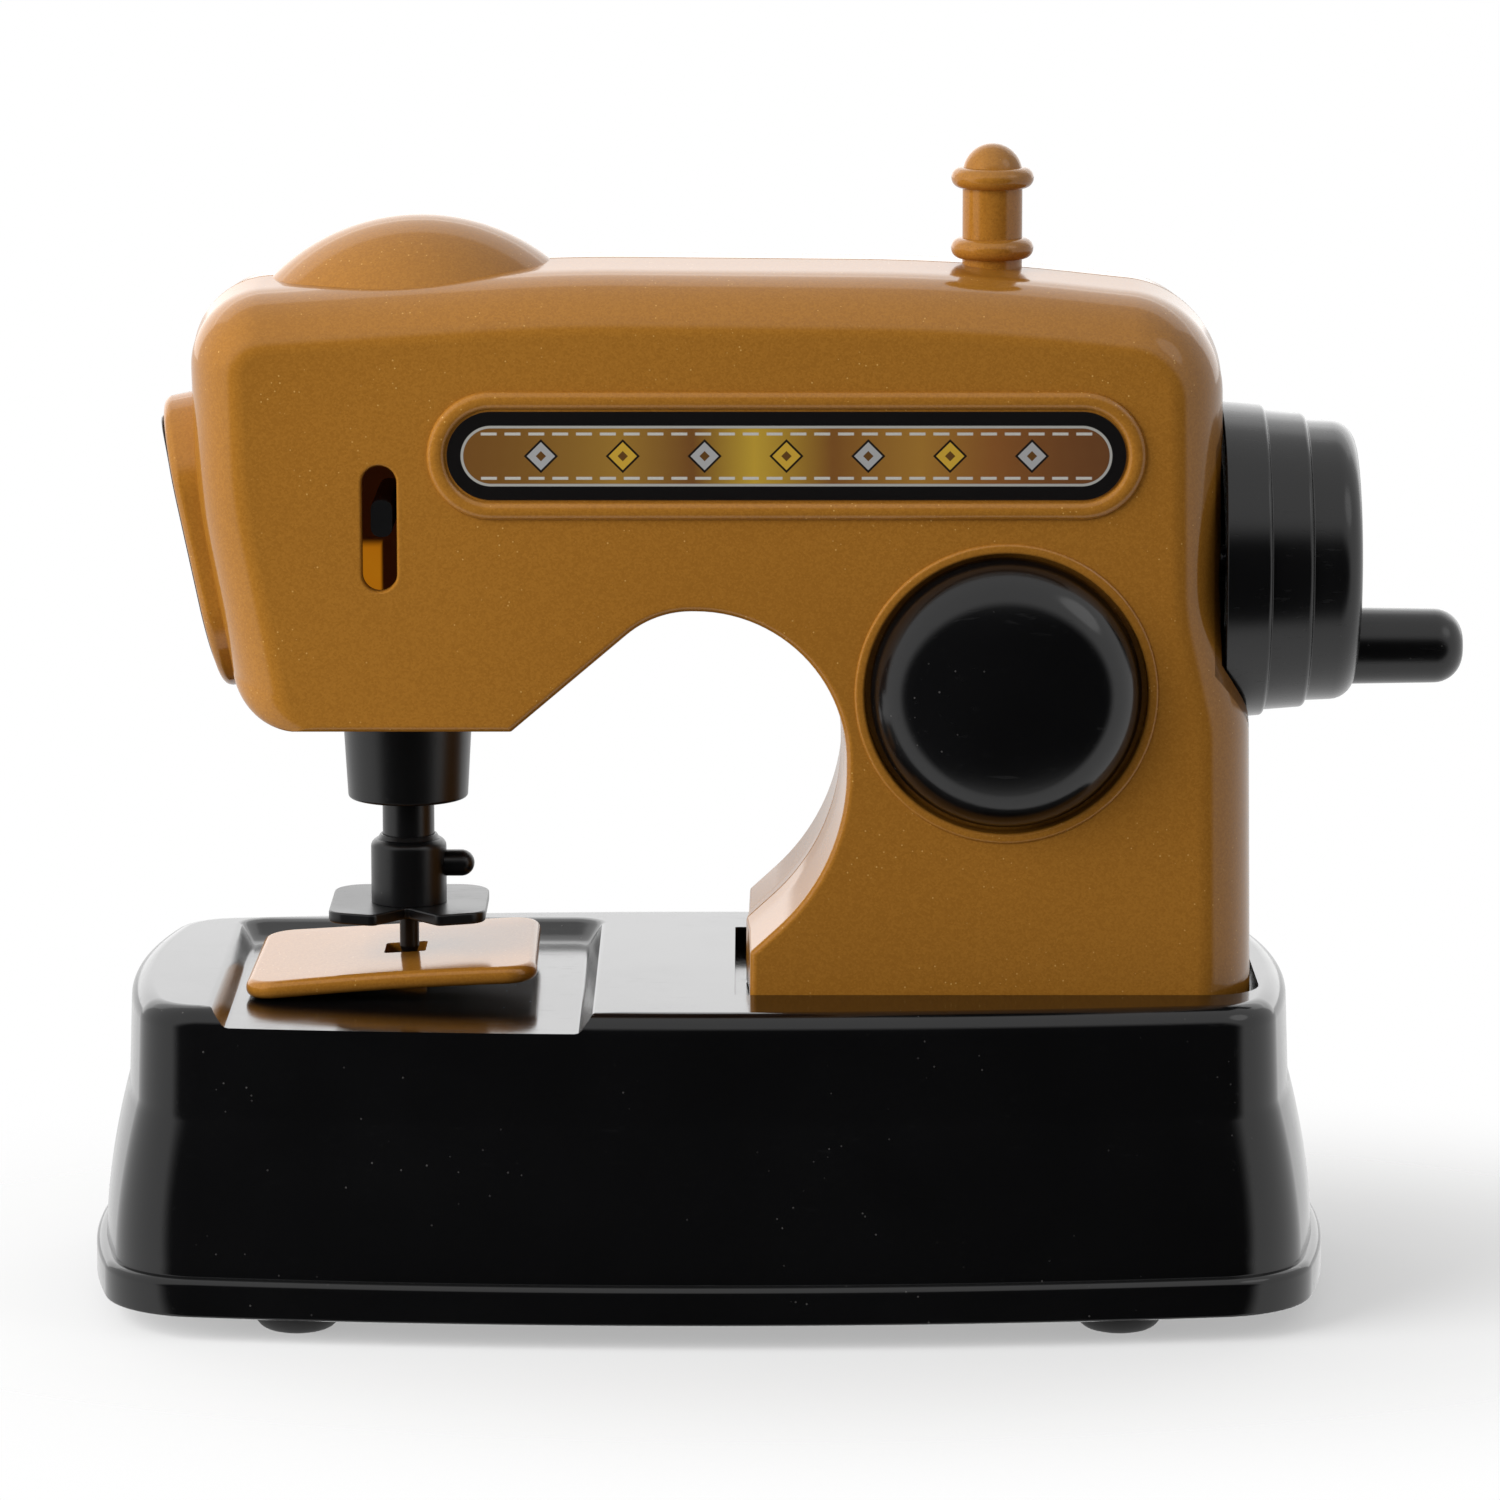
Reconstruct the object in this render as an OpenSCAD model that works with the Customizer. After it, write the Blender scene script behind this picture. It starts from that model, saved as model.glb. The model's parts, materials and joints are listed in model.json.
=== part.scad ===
// Toy sewing machine: a two-part hollow body on a flared base, with a hand-turned wheel,
// a shaft and crank inside the arm, and a needle bar that slides in the head.
// The sizes are taken from the middle of the base, and place() centres the whole length.

/* [Base] */
// Length of the base over its rim
base_len = 171.2; // [165:0.2:210]
// Depth of the base over its rim
base_depth = 85; // [80:0.5:105]
// Height of the base cover, from its rim to its deck
base_h = 43; // [35:0.5:54]
// Wall of the base cover
base_wall = 2; // [1.6:0.1:2.5]
// Corner radius of the rim, seen from above
base_corner_r = 15; // [12:0.5:20]
// Height of the rim at the foot of the base
rim_h = 8; // [6:0.2:10]
// Height that the feet hold the rim off the table
foot_h = 2; // [1.6:0.1:3]
// Diameter of a foot
foot_d = 12; // [9:0.5:15]

/* [Needle plate] */
// Width of the needle plate
plate_w = 39.5; // [33:0.5:42]
// Depth of the needle plate
plate_d = 36.4; // [30:0.2:44]
// Thickness of the needle plate
plate_t = 2.2; // [1.8:0.1:2.7]
// Depth of the recess in the deck
recess_h = 2.5; // [2:0.1:3]

/* [Body] */
// Depth of the body, front to back
body_depth = 46; // [42:0.5:56]
// Height of the body above the deck
body_h = 97.3; // [92:0.5:117]
// Wall of the two shells
body_wall = 2; // [1.6:0.1:2.4]
// Width of the pillar at the deck
pillar_w = 70; // [68:0.5:73]
// Height of the throat under the arm
throat_h = 52.2; // [48:0.2:54]
// Radius of the soft front and back edges
edge_round = 7; // [5:0.2:8]
// Diameter of the round crown on the head
dome_d = 41.6; // [36:0.2:44]
// Height of the crown above the arm
dome_h = 7; // [4:0.2:9]

/* [Label frame] */
// Length of the raised label frame
frame_len = 96.8; // [80:0.2:98]
// Height of the raised label frame
frame_w = 17.4; // [12:0.2:20]
// Width of the frame's ridge
ridge_w = 2.4; // [1.5:0.1:3]

/* [Wheel and crank] */
// Largest diameter of the handwheel
wheel_d = 43.7; // [38:0.1:46]
// Length of the handwheel along its shaft
wheel_len = 18; // [15:0.5:22]
// Diameter of the crank handle at its root
handle_d = 10.6; // [8:0.2:12]
// Length of the crank handle outside the wheel
handle_len = 14.6; // [12:0.2:20]
// Distance of the crank handle from the wheel's axis
handle_throw = 12; // [9:0.2:12.5]
// Diameter of the main shaft
shaft_d = 4; // [3.2:0.1:4.8]
// Throw of the crank that lifts the needle bar
crank_throw = 3.5; // [3:0.1:3.6]

/* [Needle group] */
// Diameter of the needle bar
bar_d = 7.2; // [6:0.1:8.6]
// Diameter of the needle clamp
clamp_d = 10.5; // [10:0.1:12.6]
// Diameter of the needle
needle_d = 2.7; // [2:0.1:3]
// Width of the presser foot
foot_plate_w = 21.7; // [18:0.1:24]
// Depth of the presser foot
foot_plate_d = 22.7; // [20:0.1:24]

/* [Front knob] */
// Diameter of the front knob
knob_d = 36.8; // [30:0.2:38]
// Height of the front knob over the body's face
knob_h = 8; // [6:0.2:10]

/* [Hidden] */
$fn = 64;

// Overrun of a cut past the face it opens
over = 1;
// Gap of a fit, on the radius
fit = 0.05;
// Clear gap between pieces that pass or face each other
clear = 0.3;
// Smallest radius left on a moulded corner
least_r = 0.3;
// Radius of a crisp moulded edge
crisp_r = 1;
// Finest thickness of a sticker
sticker_t = 0.25;

// Colours
gold = [0.66, 0.45, 0.16];
black = [0.06, 0.06, 0.06];
steel = [0.72, 0.73, 0.75];
rubber = [0.1, 0.1, 0.1];
print_gold = [0.72, 0.5, 0.2];
silver = [0.8, 0.8, 0.8];

// Base, seen in section: the lip of the rim, the flared wall and the upright wall above it
rim_lip = 1.5;
rim_round = 1.2;
rim_edge = 0.5;
flare = 3.5;
flare_h = 21;
flare_power = 1.7;
upper_draft = 0.4;
deck_round = 3;
side_bow = 7;
end_bow = 8;
deck_z = foot_h + base_h;
bottom_t = 2;

// Feet and screw posts of the base
foot_in_x = 29.6;
foot_in_y = 13.5;
foot_flat_d = 7;
foot_peg_d = 3;
post_in_x = 21;
post_in_y = 24;
post_d = 7;

// Screws: a pan head on a plain shank
screw_d = 2.5;
screw_head_d = 5;
screw_head_h = 1.6;
screw_bite = 8;

// Body outline, in lengths from the middle of the base and heights over the deck
socket_h = 3;
socket_gap = 1.6;
socket_floor = 2;
pillar_left = 5.2;
pillar_right = pillar_left + pillar_w;
pillar_lean = 0.6;
neck_h = 6;
throat_back = 18.3;
throat_low_h = 18;
throat_front = -7;
head_right = -26.5;
head_h = 35.7;
head_low = -64.2;
head_mid = -70.3;
head_mid_h = 67;
head_top = -71;
top_peak = 5;
top_fall = 4.7;
top_right = 70.3;
side_waist = 70.9;
side_high_h = 53;
side_low_h = 37;
body_draft = 0.5;
body_half = body_depth / 2;

// Radii of the outline's corners
neck_r = 1.2;
throat_low_r = 28.5;
throat_r = 20;
throat_front_r = 13;
head_low_r = 5;
head_mid_r = 80;
head_top_r = 12.5;
top_r = 400;
top_right_r = 10;
waist_r = 25;

// Each corner: place along the length, height over the deck, radius, steps of its arc,
// and whether the side that leaves it has a soft edge (1) or a crisp one (0); clockwise
body_corners = [
  [pillar_left, -socket_h, least_r, 1, 0],
  [pillar_left, neck_h, neck_r, 2, 0],
  [throat_back, throat_low_h, throat_low_r, 8, 0],
  [throat_back, throat_h, throat_r, 10, 0],
  [throat_front, throat_h, throat_front_r, 5, 0],
  [head_right, head_h, crisp_r, 2, 0],
  [head_low, head_h, head_low_r, 5, 1],
  [head_mid, head_mid_h, head_mid_r, 3, 1],
  [head_top, body_h, head_top_r, 8, 1],
  [top_peak, body_h, top_r, 3, 1],
  [top_right, body_h - top_fall, top_right_r, 8, 1],
  [side_waist, side_high_h, waist_r, 3, 1],
  [pillar_right - pillar_lean, side_low_h, waist_r, 3, 1],
  [pillar_right, -socket_h, least_r, 1, 0]
];

// Crown on the head
dome_x = -40;
dome_sink = 2;
dome_base_r = dome_d / 2;
dome_rise = dome_h + dome_sink;
dome_r = (dome_base_r * dome_base_r + dome_rise * dome_rise) / (2 * dome_rise);
dome_top_z = deck_z + body_h + dome_h;

// Oval pad on the left end, and its sticker
pad_x = -70.9;
pad_h = 59;
pad_tilt = 11.6;
pad_len = 41;
pad_w = 26;
pad_root = 8;
pad_label_in = 2.4;

// Label frame and thread slot on the front
frame_x = 10.6;
frame_h = 74;
ridge_proud = 0.8;
slot_x = -44.25;
slot_h = 64.05;
slot_len = 17.1;
slot_w = 4.7;

// Front knob and its recess
knob_x = 40.4;
knob_z_h = 41.5;
knob_sink = 2.6;
knob_gap = 0.8;
knob_wall = 2;
knob_rim_r = 5;
knob_crown = 1.3;
knob_stem_d = 8;
knob_lip_w = 1.4;
knob_lip_proud = 0.4;
knob_washer_d = 14;
washer_t = 1;

// Spool pin
spool_x = 38.9;
spool_d = 8.2;
spool_collar_d = 11.3;
spool_stem_d = 7.6;
spool_stem_len = 7;
spool_h = 19.1;
spool_wall = 2;
spool_seat_h = body_h - top_fall / 2;

// Shaft, wheel and crank
shaft_h = 56.5;
shaft_z = deck_z + shaft_h;
shaft_left = -36;
wheel_x = 71.7;
wheel_end = wheel_x + wheel_len;
wheel_back_gap = 0.5;
wheel_seat_x = wheel_x - wheel_back_gap;
wheel_seat_t = 2;
wheel_gap = 0.8;
wheel_wall = 2.4;
wheel_round = 3.2;
hub_d = 11;
hub_in = 1.5;
wheel_screw_bite = 9;
handle_root = wheel_wall + 3;
handle_shoulder = 0.9;
handle_tip_share = 0.955;
handle_round = 4;
rib_x = -22;
rib_t = 3;
rib_low_h = 34;
rib_high_h = 68;
collar_d = 9;
collar_t = 3;
disc_d = 15;
disc_t = 3;
disc_hub_d = 7;
crank_pin_wall = 0.25;
crank_pin_d = 2 * (crank_throw - shaft_d / 2 - crank_pin_wall);
crank_lift = 0.8;
crank_out = sqrt(crank_throw * crank_throw - crank_lift * crank_lift);

// Needle group
needle_x = -41.8;
bush_h = 12.4;
bush_top_d = 18;
bush_low_d = 16.6;
bush_stem_d = 13;
bush_stem_h = 7;
bush_boss_w = 2;
yoke_shift = 0.4;
yoke_t = 2.2;
yoke_w = 18;
yoke_under = 2 * crank_throw + crank_pin_d / 2 + clear;
pin_h = 65.4;
pin_tall = 5;
pin_wide = 2.9;
pin_round = 1.2;
pin_back = 0.6;
clamp_low_h = 8.5;
clamp_len = 9;
clamp_round = 1.4;
clamp_peg_d = 3.7;
clamp_peg_len = 3.9;
clamp_peg_h = 13.9;
clamp_peg_in = (clamp_d - bar_d) / 2 - clear;
foot_plate_t = 1.6;
foot_plate_shift = 0.85;
foot_back_r = 4.5;
foot_wing_r = 3;
foot_toe_r = 1.2;
foot_notch_r = 0.6;
foot_wing_share = 0.8;
foot_toe_share = 0.41;
foot_notch_share = 0.52;
needle_tip_h = 0;
needle_point = 2.2;
needle_point_d = 1.4;
needle_grip = 6;

// Needle plate and its recess
recess_w = 46.9;
recess_x = -41.3;
recess_back = 22.6;
recess_slope = 2.4;
recess_back_slope = 7;
recess_floor = 2;
plate_x = -42.8;
plate_y = 2.8;
plate_tilt = 3.7;
plate_lift = 0.4;
plate_corner = 4.5;
plate_peg_d = 3.2;
plate_peg_in = 5;
plate_peg_y_share = 0.3;
needle_slot_w = 5.8;
needle_slot_d = 7.4;
needle_slot_x = 0.6;
needle_slot_y = 1.9;
needle_hole_d = 4.6;

// Screws of the shells: places along the length and heights over the deck
body_boss_d = 6.4;
body_boss_in = 11;
body_boss_low_h = 8;
body_boss_left = -60;
body_boss_arm = -8;
body_boss_right = 60;
body_boss_pillar = 13.5;
body_boss_corner = 66;
body_screw_wall = 4;
body_screw_places = [
  [body_boss_left, body_h - body_boss_in - spool_wall],
  [body_boss_arm, body_h - body_boss_in],
  [body_boss_right, body_h - top_fall - body_boss_in],
  [body_boss_pillar, body_boss_low_h],
  [body_boss_corner, body_boss_low_h]
];

// Screws of the pillar, up through the socket's floor
pillar_screw_x = pillar_left + pillar_w / 2;
pillar_screw_y = body_half / 2;
pillar_post_d = 7;
pillar_post_h = 11;

// The whole length runs from the left end of the rim to the end of the crank handle
handle_end = wheel_end + handle_len;
mid_x = (handle_end - base_len / 2) / 2;

// Plane geometry
function unit(v) = v / norm(v);
function turn(v, a) = [v[0] * cos(a) - v[1] * sin(a), v[0] * sin(a) + v[1] * cos(a)];
function right_of(v) = [v[1], -v[0]];
function cross2(a, b) = a[0] * b[1] - a[1] * b[0];

// Where two lines meet, each given by a point and a direction
function meet(p, d, q, e) = p + d * (cross2(q - p, e) / cross2(d, e));

// The corner v between a and b, rounded to radius r by an arc of the given steps
function arc_corner(a, v, b, r, steps) =
  let (
    u = unit(a - v),
    w = unit(b - v),
    half = acos(u * w) / 2,
    c = v + unit(u + w) * r / sin(half),
    start = v + u * r / tan(half) - c,
    sweep = sign(cross2(v - a, b - v)) * (180 - 2 * half)
  )
  [for (k = [0:steps]) c + turn(start, sweep * k / steps)];

// A clockwise outline moved inwards, each side by its own amount
function inset(corners, moves) =
  let (n = len(corners))
  [for (i = [0:n - 1])
    let (
      h = (i + n - 1) % n,
      j = (i + 1) % n,
      d = unit(corners[i] - corners[h]),
      e = unit(corners[j] - corners[i])
    )
    meet(corners[i] + right_of(d) * moves[h], d, corners[i] + right_of(e) * moves[i], e)];

// A closed outline of [x, y, radius] corners with every corner rounded
function rounded(corners, steps) =
  let (n = len(corners))
  [for (i = [0:n - 1])
    let (
      a = corners[(i + n - 1) % n],
      v = corners[i],
      b = corners[(i + 1) % n]
    )
    each arc_corner([a[0], a[1]], [v[0], v[1]], [b[0], b[1]], v[2], steps)];

// One ring of the body: the outline moved in, at one step t of the edge's quarter turn;
// a corner of one step keeps the round of the side before it
function body_ring(move, soft, crisp, face_y, t) =
  let (
    rounds = [for (c = body_corners) c[4] > 0 ? soft : crisp],
    moves = [for (r = rounds) move + r * (1 - cos(t))],
    corners = inset([for (c = body_corners) [c[0], deck_z + c[1]]], moves),
    n = len(corners)
  )
  [for (i = [0:n - 1])
    let (
      h = (i + n - 1) % n,
      j = (i + 1) % n,
      bend = sign(cross2(corners[i] - corners[h], corners[j] - corners[i])),
      r = max(least_r, body_corners[i][2] + bend * (moves[h] + moves[i]) / 2),
      steps = body_corners[i][3],
      arc = arc_corner(corners[h], corners[i], corners[j], r, steps)
    )
    for (k = [0:steps])
      let (
        share = steps > 1 ? k / steps : 0,
        round_here = rounds[h] + (rounds[i] - rounds[h]) * share
      )
      [arc[k][0], face_y + round_here * (1 - sin(t)), arc[k][1]]];

// Where the points of one corner start in a ring, and how many points a ring has
function corner_start(i) = i == 0 ? 0 : corner_start(i - 1) + body_corners[i - 1][3] + 1;
body_points = corner_start(len(body_corners));

// The ring's places from one to another, going round
function places(from, to) =
  [for (k = [0:(to - from + body_points) % body_points]) (from + k) % body_points];

// The body's flat faces are not convex: one fan serves the pillar, from the low waist of its
// right side, and one the arm and the head, from the peak of the top; they part in the throat
throat_split = corner_start(3) + floor(body_corners[3][3] / 2);
waist_start = corner_start(12);
peak_start = corner_start(9);
body_fans = [
  places(waist_start, throat_split),
  concat(places(peak_start, waist_start), places(throat_split, peak_start - 1))
];

// A ring laid flat at one depth
function at_depth(ring, y) = [for (p = ring) [p[0], y, p[2]]];

// Plan of the base: bowed sides and ends, joined by corner arcs that meet them smoothly
base_a = base_len / 2;
base_b = base_depth / 2;
side_r = (base_a * base_a + side_bow * side_bow) / (2 * side_bow);
end_r = (base_b * base_b + end_bow * end_bow) / (2 * end_bow);
side_off = side_r - base_b;
end_off = end_r - base_a;
side_reach = side_r - base_corner_r;
end_reach = end_r - base_corner_r;
plan_k = (pow(end_reach, 2) - pow(side_reach, 2) + pow(side_off, 2) - pow(end_off, 2)) / 2;
plan_qa = 1 + pow(end_off / side_off, 2);
plan_qb = 2 * end_off - 2 * end_off * plan_k / pow(side_off, 2);
plan_qc = pow(end_off, 2) + pow(plan_k / side_off, 2) - pow(end_reach, 2);
corner_x = (-plan_qb + sqrt(pow(plan_qb, 2) - 4 * plan_qa * plan_qc)) / (2 * plan_qa);
corner_y = (end_off * corner_x - plan_k) / side_off;
side_turn = atan2(corner_x, corner_y + side_off);
end_turn = atan2(corner_y, corner_x + end_off);
side_steps = 8;
corner_steps = 7;
end_steps = 4;

// Each arc of the plan: centre, radius, first and last angle, steps; clockwise from above
plan_arcs = [
  [[0, -side_off], side_r, 90 + side_turn, 90 - side_turn, side_steps],
  [[corner_x, corner_y], base_corner_r, 90 - side_turn, end_turn, corner_steps],
  [[-end_off, 0], end_r, end_turn, -end_turn, end_steps],
  [[corner_x, -corner_y], base_corner_r, -end_turn, side_turn - 90, corner_steps],
  [[0, side_off], side_r, side_turn - 90, -90 - side_turn, side_steps],
  [[-corner_x, -corner_y], base_corner_r, -90 - side_turn, end_turn - 180, corner_steps],
  [[end_off, 0], end_r, end_turn - 180, -180 - end_turn, end_steps],
  [[-corner_x, corner_y], base_corner_r, -180 - end_turn, side_turn - 270, corner_steps]
];

// One ring of the base: the plan moved in by m, at height z
function base_ring(m, z) =
  [for (a = plan_arcs) for (k = [0:a[4] - 1])
    let (angle = a[2] + (a[3] - a[2]) * k / a[4])
    [a[0][0] + (a[1] - m) * cos(angle), a[0][1] + (a[1] - m) * sin(angle), z]];

// The base's flat faces are convex, so one fan closes each
base_fans = [[for (k = [0:len(base_ring(0, 0)) - 1]) k]];

// The base's section as [move in from the rim, height over the rim's foot]
flare_steps = 7;
round_steps = 4;
base_section = concat(
  [[rim_edge, 0], [0, rim_edge]],
  [for (k = [0:round_steps])
    let (t = 90 * k / round_steps)
    [rim_round * (1 - cos(t)), rim_h - rim_round * (1 - sin(t))]],
  [for (k = [0:flare_steps])
    let (s = k / flare_steps)
    [rim_lip + flare * pow(s, flare_power), rim_h + flare_h * s]],
  [for (k = [0:round_steps])
    let (t = 90 * k / round_steps)
    [rim_lip + flare + upper_draft + deck_round * (1 - cos(t)), base_h - deck_round * (1 - sin(t))]]
);

// The hollow under it, one wall inside
hollow_steps = 3;
base_hollow_section = concat(
  [[base_wall, -over], [base_wall, rim_h - base_wall], [base_wall + rim_lip, rim_h]],
  [for (k = [1:hollow_steps])
    let (s = k / hollow_steps)
    [base_wall + rim_lip + flare * pow(s, flare_power), rim_h + flare_h * s]],
  [[base_wall + rim_lip + flare + upper_draft, base_h - base_wall]]
);

// Puts the middle of the whole length over the origin
module place() translate([-mid_x, 0, 0]) children();

// A solid through a row of rings, each clockwise as seen from the last one; each cap is closed
// by one or more fans, given as lists of ring places that start at the fan's own hub
module loft(rings, fans) {
  n = len(rings[0]);
  m = len(rings);
  sides = [for (i = [0:m - 2]) for (k = [0:n - 1])
    let (
      a = i * n + k,
      b = i * n + (k + 1) % n
    )
    each [[a, b, b + n], [a, b + n, a + n]]];
  first = [for (f = fans) [for (k = [0:len(f) - 1]) f[(len(f) - k) % len(f)]]];
  last = [for (f = fans) [for (k = f) (m - 1) * n + k]];
  polyhedron([for (r = rings) each r], concat(first, sides, last));
}

// Flat outline with round ends, along x
module stadium(length, width) {
  square([length - width, width], center = true);
  for (side = [-1, 1])
    translate([side * (length - width) / 2, 0])
      circle(d = width);
}

// Cylinder along x, y or minus y from where it is placed
module along_x(d, length) rotate([0, 90, 0]) cylinder(d = d, h = length);
module along_y(d, length) rotate([-90, 0, 0]) cylinder(d = d, h = length);
module along_front(d, length) rotate([90, 0, 0]) cylinder(d = d, h = length);

// Places used by more than one piece
module at_body(x, h, y = 0) translate([x, y, deck_z + h]) children();
module at_shaft(x) translate([x, 0, shaft_z]) children();
module at_knob(y) translate([knob_x, y, deck_z + knob_z_h]) children();
module at_needle(h) translate([needle_x, 0, deck_z + h]) children();
module at_pad() translate([pad_x, 0, deck_z + pad_h]) rotate([0, -pad_tilt, 0]) children();
module at_frame(y) translate([frame_x, y, deck_z + frame_h]) rotate([90, 0, 0]) children();
module at_plate()
  translate([plate_x, plate_y, deck_z - recess_h + plate_lift]) rotate([0, -plate_tilt, 0]) children();

// A screw along z with its head below and its shank upwards
module screw(length) {
  cylinder(d = screw_d, h = screw_head_h + length);
  cylinder(d = screw_head_d, h = screw_head_h);
}

// The front half of the body's skin, and of the hollow inside it
edge_steps = 6;
module half_skin() {
  face = [for (k = [0:edge_steps])
    body_ring(body_draft, edge_round, crisp_r, -body_half, 90 * k / edge_steps)];
  loft(concat([at_depth(body_ring(0, edge_round, crisp_r, 0, 0), 0)], face), body_fans);
}
hollow_edge_steps = 2;
module half_hollow() {
  soft = edge_round - body_wall;
  face = [for (k = [0:hollow_edge_steps])
    body_ring(body_draft + body_wall, soft, least_r, body_wall - body_half, 90 * k / hollow_edge_steps)];
  loft(concat([at_depth(body_ring(body_wall, soft, least_r, 0, 0), over)], face), body_fans);
}

// The half of space in front of the parting plane
module front_half(reach) translate([-reach, -reach, -reach]) cube([2 * reach, reach, 2 * reach]);

// A round cap cut from a ball, of the crown's radius less a wall
module crown(wall) {
  low_z = deck_z + body_h - dome_sink - wall;
  intersection() {
    translate([dome_x, 0, dome_top_z - dome_r]) sphere(r = dome_r - wall, $fn = 96);
    translate([dome_x - dome_d, -dome_d, low_z]) cube([2 * dome_d, 2 * dome_d, dome_rise + wall]);
  }
}

// Raised pad on the left end
module side_pad() {
  at_pad() rotate([0, 90, 0]) linear_extrude(pad_root) stadium(pad_len, pad_w);
}

// Solid features left standing in the hollow: screw bosses, bearing rib, wheel seat,
// spool socket, bush boss and the post over the pillar screw
module inner_features() {
  for (p = body_screw_places)
    at_body(p[0], p[1], -body_half) along_y(body_boss_d, body_half + over);
  translate([rib_x, -body_half, deck_z + rib_low_h])
    cube([rib_t, body_half + 2 * over, rib_high_h - rib_low_h]);
  at_shaft(wheel_seat_x - wheel_seat_t) along_x(wheel_d + 2 * (wheel_gap + body_wall), wheel_len);
  translate([spool_x, 0, deck_z + body_h - spool_stem_len - spool_wall - top_fall])
    cylinder(d = spool_stem_d + 2 * spool_wall, h = spool_stem_len + spool_wall + top_fall);
  at_needle(head_h) cylinder(d = bush_stem_d + 2 * bush_boss_w, h = bush_stem_h);
  translate([pillar_screw_x, -pillar_screw_y, deck_z - socket_h])
    cylinder(d = pillar_post_d, h = pillar_post_h);
}

// Bores and seats that both halves share
module shared_cuts() {
  at_shaft(wheel_seat_x) along_x(wheel_d + 2 * wheel_gap, wheel_len);
  at_shaft(rib_x - over) along_x(shaft_d + 2 * fit, wheel_x - rib_x + 2 * over);
  translate([spool_x, 0, deck_z + body_h - top_fall - spool_stem_len])
    cylinder(d = spool_stem_d + 2 * fit, h = spool_stem_len + top_fall + over);
  translate([spool_x, 0, deck_z + spool_seat_h]) cylinder(d = spool_d + 2 * fit, h = top_fall);
  at_needle(head_h - over) cylinder(d = bush_stem_d + 2 * fit, h = bush_stem_h + 2 * over);
  translate([pillar_screw_x, -pillar_screw_y, deck_z - socket_h - over])
    cylinder(d = screw_d + 2 * fit, h = screw_bite + 2 * over);
}

// Half of the body with the shared features, before the front's or the back's own
module half_body() {
  difference() {
    union() {
      half_skin();
      intersection() {
        union() {
          crown(0);
          side_pad();
        }
        front_half(base_len);
      }
      children();
    }
    difference() {
      union() {
        half_hollow();
        crown(body_wall);
      }
      inner_features();
    }
    shared_cuts();
  }
}

// Raised frame round the label
module label_ridge() {
  at_frame(-body_half + over) linear_extrude(ridge_proud + over)
    difference() {
      stadium(frame_len, frame_w);
      stadium(frame_len - 2 * ridge_w, frame_w - 2 * ridge_w);
    }
}

// Cup behind the front face that takes the knob
module knob_cup() {
  cup_r = knob_d / 2 + knob_gap + knob_lip_w;
  at_knob(-body_half - knob_lip_proud)
    along_y(2 * cup_r, knob_sink + clear + body_wall + knob_lip_proud);
}

// Front shell: label frame, thread slot, knob cup and blind screw bosses
module front_shell() {
  color(gold) place() difference() {
    union() {
      half_body() label_ridge();
      knob_cup();
    }
    at_knob(-body_half - over) along_y(knob_d + 2 * knob_gap, over + knob_sink + clear);
    at_knob(-body_half) along_y(knob_stem_d + 2 * fit, body_half);
    at_body(slot_x, slot_h, -body_half + body_wall + over) rotate([90, 90, 0])
      linear_extrude(body_wall + 2 * over) stadium(slot_len, slot_w);
    for (p = body_screw_places)
      at_body(p[0], p[1], -screw_bite - over) along_y(screw_d + 2 * fit, screw_bite + 2 * over);
  }
}

// Rear shell: the same skin mirrored, with the screw wells
module rear_shell() {
  color(gold) place() difference() {
    mirror([0, 1, 0]) half_body();
    for (p = body_screw_places) {
      at_body(p[0], p[1], -over) along_y(screw_d + 2 * fit, body_half + over);
      at_body(p[0], p[1], body_screw_wall) along_y(screw_head_d + 2 * clear, body_half);
    }
  }
}

// Spool pin, turned about its own axis, with two collars and a round end
module spool_pin() {
  foot_z = body_h - top_fall - spool_stem_len + clear;
  shank_r = spool_d / 2;
  collar_r = spool_collar_d / 2;
  low_z = spool_seat_h;
  tip_z = low_z + spool_h;
  collar_h_share = 0.075;
  low_collar_share = 0.25;
  high_collar_share = 0.755;
  collar_half = spool_h * collar_h_share;
  color(gold) place() translate([spool_x, 0, deck_z]) rotate_extrude()
    intersection() {
      union() {
        translate([0, foot_z]) square([spool_stem_d / 2, low_z - foot_z + over]);
        translate([0, low_z]) square([shank_r, spool_h - shank_r]);
        translate([0, tip_z - shank_r]) circle(r = shank_r);
        for (share = [low_collar_share, high_collar_share])
          translate([0, low_z + spool_h * share]) {
            translate([0, -collar_half]) square([collar_r - collar_half, 2 * collar_half]);
            translate([collar_r - collar_half, 0]) circle(r = collar_half);
          }
      }
      translate([0, foot_z]) square([spool_collar_d, spool_h + low_z - foot_z]);
    }
}

// Sticker in the label frame
module front_label() {
  color(print_gold) place() at_frame(-body_half) linear_extrude(sticker_t)
    stadium(frame_len - 2 * (ridge_w + clear), frame_w - 2 * (ridge_w + clear));
}

// Sticker on the oval pad
module side_label() {
  color(silver) place() at_pad() translate([-sticker_t, 0, 0]) rotate([0, 90, 0])
    linear_extrude(sticker_t) stadium(pad_len - 2 * pad_label_in, pad_w - 2 * pad_label_in);
}

// Tapered bush that guides the needle bar under the head
module bar_bush() {
  color(black) place() difference() {
    union() {
      at_needle(head_h - bush_h) cylinder(d1 = bush_low_d, d2 = bush_top_d, h = bush_h);
      at_needle(head_h) cylinder(d = bush_stem_d, h = bush_stem_h);
    }
    at_needle(head_h - bush_h - over) cylinder(d = bar_d + 2 * fit, h = bush_h + bush_stem_h + 2 * over);
  }
}

// Places of the four feet and of the four screw posts
module at_corners(in_x, in_y)
  for (sx = [-1, 1], sy = [-1, 1])
    translate([sx * (base_len / 2 - in_x), sy * (base_depth / 2 - in_y), 0]) children();

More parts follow.
